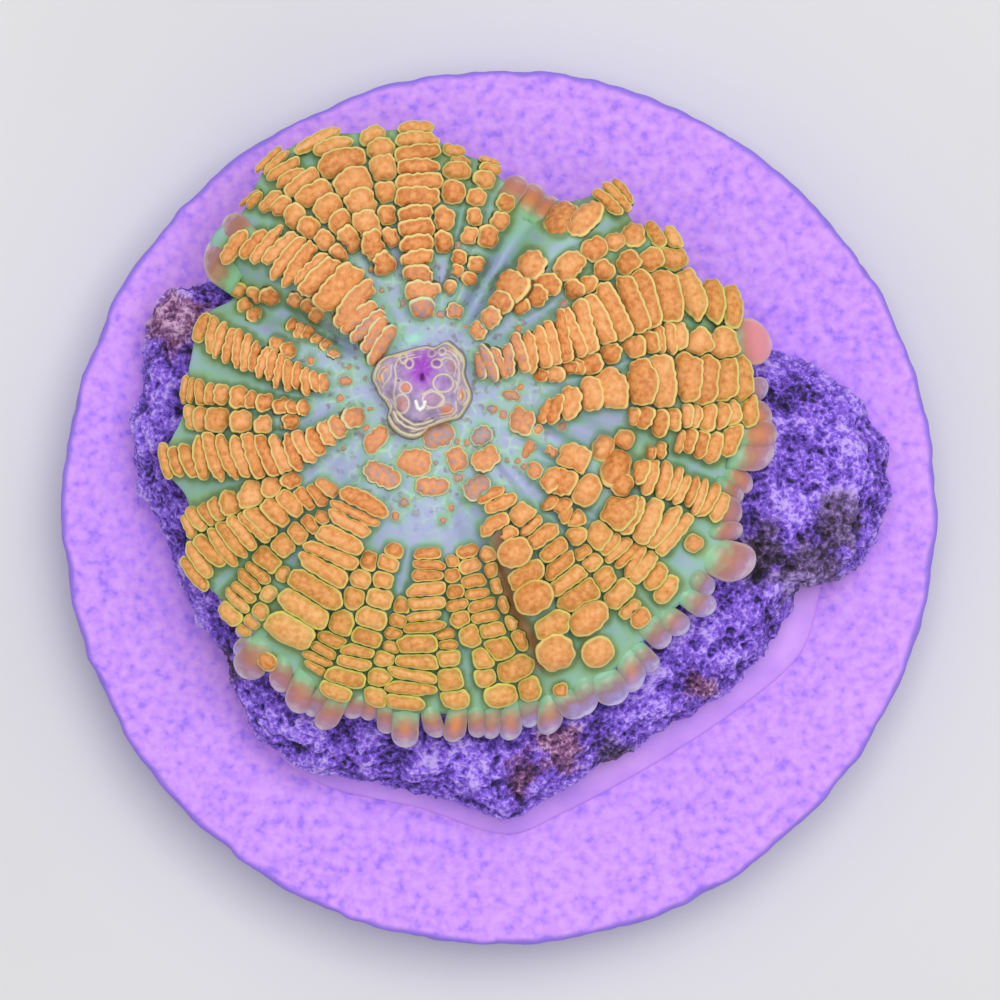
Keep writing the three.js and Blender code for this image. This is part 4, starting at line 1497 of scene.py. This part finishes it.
    def build_lumps(self) -> None:
        """Makes every lump on the oral disc, in two pieces: those above the mouth and those below it."""
        sides = {"polyp_lumps_upper": MeshParts(), "polyp_lumps_lower": MeshParts()}
        for lump in self.lumps:
            centre, rise_across, rise_out = self.disc.slopes(lump.angle, lump.radius)
            across, inward = lump.axes()
            yaw = math.radians(lump.yaw)
            lean = lump.tilt * self.rng.uniform(*self.lean_spread)
            tilt_across = self.settle * (rise_across * math.cos(yaw) - rise_out * math.sin(yaw))
            tilt_inward = -self.settle * (rise_out * math.cos(yaw) + rise_across * math.sin(yaw)) - lean
            axes = np.array([*across, tilt_across]), np.array([*inward, tilt_inward])
            up = np.cross(*axes)
            up /= np.linalg.norm(up)
            outline, dip = creased(self.outline(lump), lump.lobing, self.rng)
            points, faces, edge = cushion(centre, (*axes, up), outline, dip, lump.height, lump.form)
            points[:, :2] -= 0.8 * lump.height * up[:2]
            lower = max(0, math.cos(math.radians(lump.angle - 255)))
            outer = float(smooth_step(7.0, 16.0, lump.radius)) * (0.3 + 0.7 * lower)
            at_margin = float(smooth_step(0.78, 1.0, lump.radius / float(self.disc.full_reach(lump.angle))))
            outer = max(outer, 0.8 * at_margin) * (0.4 if lump.form is LumpForm.BULB else 1.0)
            side = sides["polyp_lumps_upper" if lump.angle % 360 < 180 else "polyp_lumps_lower"]
            tone = self.rng.uniform(-self.tone_spread, self.tone_spread)
            side.add(points, faces, edge=edge, warm=lump.warm, tone=tone, outer=outer)
        for name, parts in sides.items():
            parts.build(name, PigmentedLump(), "polyp_tissue")

    def build_fingers(self) -> None:
        """Makes the fingers of the margin, each a rounded tube that follows the disc's droop."""
        places = np.array(self.finger_places)
        columns = self.finger_columns
        turn = np.linspace(0, 2 * np.pi, columns, endpoint=False)
        upright = np.array([0.0, 0.0, 1.0])
        parts = MeshParts()
        for angle, tip, bare_width, length, cool, streak, pink in FINGERS:
            width = self.finger_widening * bare_width
            bulge = self.rng.uniform(*self.bulge_spread)
            cap = 0.5 * width / length
            rounding = np.sqrt(1 - np.clip((places - 1 + cap) / cap, 0, 0.9999) ** 2)
            swell = (0.86 + 0.14 * places + bulge * np.sin(np.pi * places**1.5)) * rounding
            radii = tip - length * (1 - places)
            bend = self.rng.uniform(-self.bend_spread, self.bend_spread)
            path = self.disc.surface(np.full(len(places), float(angle)) + bend * (places - 0.5), radii)
            path[:, 2] += 0.05 - 0.3 * places**2 - 0.55 * (1 - smooth_step(0.0, 0.4, places))
            sideways = np.array([-math.sin(math.radians(angle)), math.cos(math.radians(angle)), 0.0])
            rings = []
            for centre, size in zip(path, swell):
                flat = np.outer(0.5 * width * size * np.cos(turn), sideways)
                tall = np.outer(0.4 * min(width, 1.2) * size * np.sin(turn), upright)
                rings.append(centre + flat + tall)
            points = np.concatenate([*rings, path[:1], path[-1:]])
            along = np.concatenate([np.repeat(places, columns), [0.0, 1.0]])
            top = np.concatenate([np.tile(np.maximum(np.sin(turn), 0) ** 8, len(places)), [0.0, 0.0]])
            # Painted pale light along the turned-away sides and at the tip.
            sheer = np.concatenate([np.tile(np.abs(np.cos(turn)) ** 14, len(places)), [0.0, 0.0]])
            painted_edge_light = 0.75 * np.maximum(sheer, smooth_step(0.93, 1.0, along)) * smooth_step(0.2, 0.5, along)
            parts.add(
                points,
                closed_faces(len(places), columns),
                along=along,
                cool=cool,
                streak=streak * top * bump(along - 0.55, 0.28),
                pink=pink * smooth_step(0.2, 0.7, along),
                side=painted_edge_light,
            )
        parts.build("polyp_fingers", TentacleSkin(), "polyp_tissue")

    def build(self) -> None:
        """Makes every piece of the polyp."""
        self.build_skin()
        self.build_lumps()
        self.build_fingers()
        Mouth(self.disc).build()


@dataclass
class Rock:
    """The loose piece of reef rubble under the polyp."""

    outline: Pairs = (
        (22, 2.8), (20.2, 5.8), (18.2, 7.7), (16.1, 8.5), (12.6, 10.2), (7.9, 12.5), (3.4, 14.1), (-1.7, 15),
        (-6.7, 15.4), (-11.2, 15), (-14.6, 13.7), (-16.9, 12.6), (-18.9, 12.1), (-19.8, 9.7), (-20.2, 6.6),
        (-20.6, 3.8), (-20.1, 1.3), (-19.1, -0.7), (-18.4, -3.2), (-17, -6.1), (-14.8, -10.3),
        (-13.8, -12.6), (-11.2, -14.5), (-5.6, -15.8), (-2.5, -16.5), (0.3, -17.5), (2.7, -16.4),
        (5.7, -14.5), (9.3, -12.5), (13, -10), (15.5, -7.5), (17, -4.8), (20.2, -3.1), (21.7, -0.3),
    )
    seat_centre: tuple[float, float] = (-1.9, 3.7)
    seat_radius: float = 9.4
    rings: Pairs = (
        (0.94, 6.92), (0.99, 8.1), (1, 9.5), (0.97, 10.5), (0.88, 11.4), (0.7, 11.9), (0.48, 12.2),
        (0.24, 12.6), (0, 12.95),
    )
    lowest: float = 6.92
    highest: float = 13.3
    mean_radius: float = 12.0
    columns: int = 520
    ring_count: int = 130
    crag: float = 0.55
    crag_grain: float = 1.9
    knob: float = 0.28
    knob_grain: float = 0.6
    grit: float = 0.1
    grit_grain: float = 0.25
    # Other crusts: (x, y, size)
    pink_spots: Triples = (
        (3.4, -13.4, 1.8), (11.3, -10.0, 1.0), (-18.3, 10.6, 2.4), (1.2, -15.2, 1.2),
    )
    dark_spots: Triples = (
        (19.1, -0.7, 1.7), (17.5, -3.6, 2.6), (14.5, -2.6, 2.0), (-15.6, -9.0, 1.2), (6.5, -14.2, 1.3),
    )
    pale_spots: Triples = (
        (16.4, 2.7, 3.2), (15.8, -4.6, 1.7), (7.9, -10.8, 2.0), (-2.8, -14.2, 2.5), (12.0, -6.5, 1.6),
    )

    def bare_surface(self) -> Array:
        """Points of the rock before its crags.

        Returns:
            Points by ring, column and axis, from the underside up.
        """
        rim = outline_points(self.outline, self.columns)
        centre = np.array(self.seat_centre)
        away = rim - centre
        seat = centre + self.seat_radius * away / np.linalg.norm(away, axis=1, keepdims=True)
        stretch = np.array([self.mean_radius, 1])
        evened = spaced(np.array(self.rings) * stretch, self.ring_count, closed=False) / stretch
        share, height = evened.T[..., None, None]
        plan = seat + (rim - seat) * share
        return np.concatenate([plan, np.broadcast_to(height, (*plan.shape[:2], 1))], axis=2)

    def spots(self, points: Array, places: Triples) -> Array:
        """Marks ragged patches.

        Args:
            points: Rows of x, y and z.
            places: Each patch's x, y and size.

        Returns:
            1 inside a patch and 0 clear of it.
        """
        ragged = 0.5 * noise_at(points, 0.9, 2)
        mark = np.zeros(len(points))
        for x, y, size in places:
            off = np.hypot(points[:, 0] - x, points[:, 1] - y) / size
            mark = np.maximum(mark, 1 - smooth_step(0.5, 1.1, off + ragged))
        return mark

    def build(self) -> None:
        """Makes the rock."""
        bare = self.bare_surface()
        along = np.roll(bare, -1, axis=1) - np.roll(bare, 1, axis=1)
        climb = np.gradient(bare, axis=0)
        normal = np.cross(along, climb)
        normal /= np.linalg.norm(normal, axis=2, keepdims=True)
        flat = bare.reshape(-1, 3)
        crag = noise_at(flat, self.crag_grain, 2)
        knob = 1 - 2 * np.abs(noise_at(flat, self.knob_grain, 2))
        grit = noise_at(flat, self.grit_grain)
        lift = self.crag * crag + self.knob * knob + self.grit * grit
        ring = np.repeat(np.arange(self.ring_count), self.columns)
        last = self.ring_count - 1
        held = np.minimum(smooth_step(0, 5, ring), 1 - smooth_step(last - 7, last, ring))
        points = flat + normal.reshape(-1, 3) * ((lift - 0.15) * held)[:, None]
        points[:, 2] = np.clip(points[:, 2], self.lowest, self.highest)
        poles = [[*self.seat_centre, self.lowest], [*self.seat_centre, self.rings[-1][1]]]
        points = np.concatenate([points, poles])
        height = np.concatenate([0.45 * crag + 0.4 * knob, [0, 0]])
        height += 0.2 * self.spots(points, self.pale_spots)
        pink = self.spots(points, self.pink_spots)
        dark = self.spots(points, self.dark_spots)
        parts = MeshParts()
        faces = closed_faces(self.ring_count, self.columns)
        parts.add(points, faces, height=height, pink=pink, dark=dark)
        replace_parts(parts.build("rock_crust", EncrustedRubble(), "reef_rubble"), "rock")


@dataclass
class Glue:
    """The gel glue under the rock, squeezed out along its lower edge."""

    outline: Pairs = (
        (17, 3), (12, 8), (2, 11.5), (-9, 12), (-15.5, 7), (-16.5, 0), (-14.6, -8), (-13.2, -13.2),
        (-10, -15.8), (-4.6, -17.1), (0.3, -18.6), (3.6, -17.4), (8.1, -15), (12.7, -12.1), (16.9, -8.6),
        (18.2, -5), (18.4, -1),
    )
    centre: tuple[float, float] = (0.0, -2.0)
    rings: Pairs = (
        (0.3, 6.5), (0.9, 6.5), (1.0, 6.5), (1.0, 6.56), (0.99, 6.66), (0.975, 6.76), (0.95, 6.84),
        (0.92, 6.89), (0.88, 6.9), (0.6, 6.9), (0.3, 6.9),
    )
    columns: int = 360
    wave: float = 0.04
    wave_grain: float = 2.0
    wave_from: float = 6.6

    def build(self) -> None:
        """Makes the glue."""
        rim = outline_points(self.outline, self.columns)
        centre = np.array(self.centre)
        rings = []
        for share, height in self.rings:
            plan = centre + (rim - centre) * share
            rings.append(np.column_stack([plan, np.full(self.columns, height)]))
        points = np.concatenate([*rings, [[*centre, self.rings[0][1]], [*centre, self.rings[-1][1]]]])
        raised = points[:, 2] > self.wave_from
        points[:, 2] -= np.where(raised, self.wave * (1 + noise_at(points, self.wave_grain)), 0)
        parts = MeshParts()
        parts.add(points, closed_faces(len(rings), self.columns))
        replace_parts(parts.build("glue_bead", CuredGel(), "gel_glue"), "glue")


@dataclass
class FragDisc:
    """The round ceramic disc that carries the rock."""

    radius: float = 25.0
    height: float = 6.5
    chamfer: float = 0.7
    rounding: float = 0.4
    columns: int = 660
    side_rings: int = 12
    round_rings: int = 7
    top_rings: int = 112
    pit: float = 0.09
    pit_grain: float = 0.7
    edge_wave: float = 0.22
    edge_wave_grain: float = 2.2

    def build(self) -> None:
        """Makes the disc with its pressed grain, all of it inside the plain disc's size."""
        turn = np.linspace(0, 2 * np.pi, self.columns, endpoint=False)
        inner = self.radius - self.chamfer
        side = [(0.3 * inner, 0.0), (0.97 * inner, 0.0), (inner, 0.0), (self.radius, self.chamfer)]
        shoulder = self.radius - self.rounding
        side += [(self.radius, z) for z in np.linspace(1.2, self.height - self.rounding, self.side_rings)]
        side += [
            (shoulder + self.rounding * math.cos(bend), self.height - self.rounding * (1 - math.sin(bend)))
            for bend in np.linspace(0, 0.5 * np.pi, self.round_rings)[1:]
        ]
        side += [(radius, self.height) for radius in np.linspace(shoulder - 0.2, 0.4, self.top_rings)]
        rings = [
            np.column_stack([radius * np.cos(turn), radius * np.sin(turn), np.full(self.columns, z)])
            for radius, z in side
        ]
        points = np.concatenate([*rings, [[0, 0, 0], [0, 0, self.height]]])
        off = np.hypot(points[:, 0], points[:, 1])
        shown = points[:, 2] > 0.5 * self.chamfer
        pit = self.pit * np.clip(0.6 + noise_at(points, self.pit_grain, 2), 0, 1.6)
        points[:, 2] -= np.where(shown & (points[:, 2] > self.height - 0.3), pit, 0)
        at_edge = smooth_step(self.radius - 1.5, self.radius - 0.4, off) * shown
        wave = self.edge_wave * np.clip(0.5 + noise_at(points, self.edge_wave_grain, 2), 0, 1.5)
        shrink = 1 - at_edge * wave / np.maximum(off, 1)
        points[:, :2] *= shrink[:, None]
        # Painted shade on the rounded edge, where it turns away from above.
        rim = 0.9 * smooth_step(self.radius - 0.42, self.radius - 0.1, off)
        parts = MeshParts()
        parts.add(points, closed_faces(len(rings), self.columns), rim=rim)
        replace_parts(parts.build("frag_disc_body", PressedCeramic(), "ceramic"), "frag_disc")


@dataclass
class Studio:
    """A pale floor, soft light from above, and the camera straight over the disc."""

    floor_side: float = 1600.0
    camera_height: float = 456.5
    camera_place: tuple[float, float] = (0.03, 0.43)
    frame_width: float = 56.95
    disc_top: float = 6.5
    sensor: float = 36.0
    clip_end: float = 10000.0
    sky: float = 0.56
    key_power: float = 0.98
    key_place: tuple[float, float, float] = (45.0, 70.0, 420.0)
    key_size: float = 260.0

    def build_floor(self) -> None:
        """Lays the floor."""
        half = 0.5 * self.floor_side * MM
        mesh = bpy.data.meshes.new("floor")
        corners = [(-half, -half, 0), (half, -half, 0), (half, half, 0), (-half, half, 0)]
        mesh.from_pydata(corners, [], [(0, 1, 2, 3)])
        mesh.materials.append(StudioPaper().material())
        floor = bpy.data.objects.new("floor", mesh)
        bpy.context.scene.collection.objects.link(floor)

    def build_lights(self) -> None:
        """Hangs a soft key light at the upper right and fills the rest from all round."""
        light = bpy.data.lights.new("key", "AREA")
        light.energy = self.key_power
        light.size = self.key_size * MM
        key = bpy.data.objects.new("key", light)
        key.location = Vector(self.key_place) * MM
        key.rotation_euler = (-Vector(self.key_place)).to_track_quat("-Z", "Y").to_euler()
        bpy.context.scene.collection.objects.link(key)
        world = bpy.data.worlds.new("studio")
        world.use_nodes = True
        world.node_tree.nodes["Background"].inputs["Color"].default_value = (1, 1, 1, 1)
        world.node_tree.nodes["Background"].inputs["Strength"].default_value = self.sky
        bpy.context.scene.world = world

    def build_camera(self) -> None:
        """Looks straight down, with the photo's upper side towards +Y."""
        camera = bpy.data.cameras.new("camera")
        camera.sensor_width = self.sensor
        camera.lens = self.sensor * (self.camera_height - self.disc_top) / self.frame_width
        camera.clip_end = self.clip_end * MM
        holder = bpy.data.objects.new("camera", camera)
        holder.location = Vector((*self.camera_place, self.camera_height)) * MM
        bpy.context.scene.collection.objects.link(holder)
        bpy.context.scene.camera = holder

    def build(self) -> None:
        """Sets the stage, with colours shown as they are mixed."""
        self.build_floor()
        self.build_lights()
        self.build_camera()
        bpy.context.scene.view_settings.view_transform = "Standard"


def main() -> None:
    """Builds the stage and every piece in order."""
    logging.basicConfig(level=logging.INFO)
    Studio().build()
    FragDisc().build()
    Glue().build()
    Rock().build()
    Polyp().build()


if __name__ == "__main__":
    main()
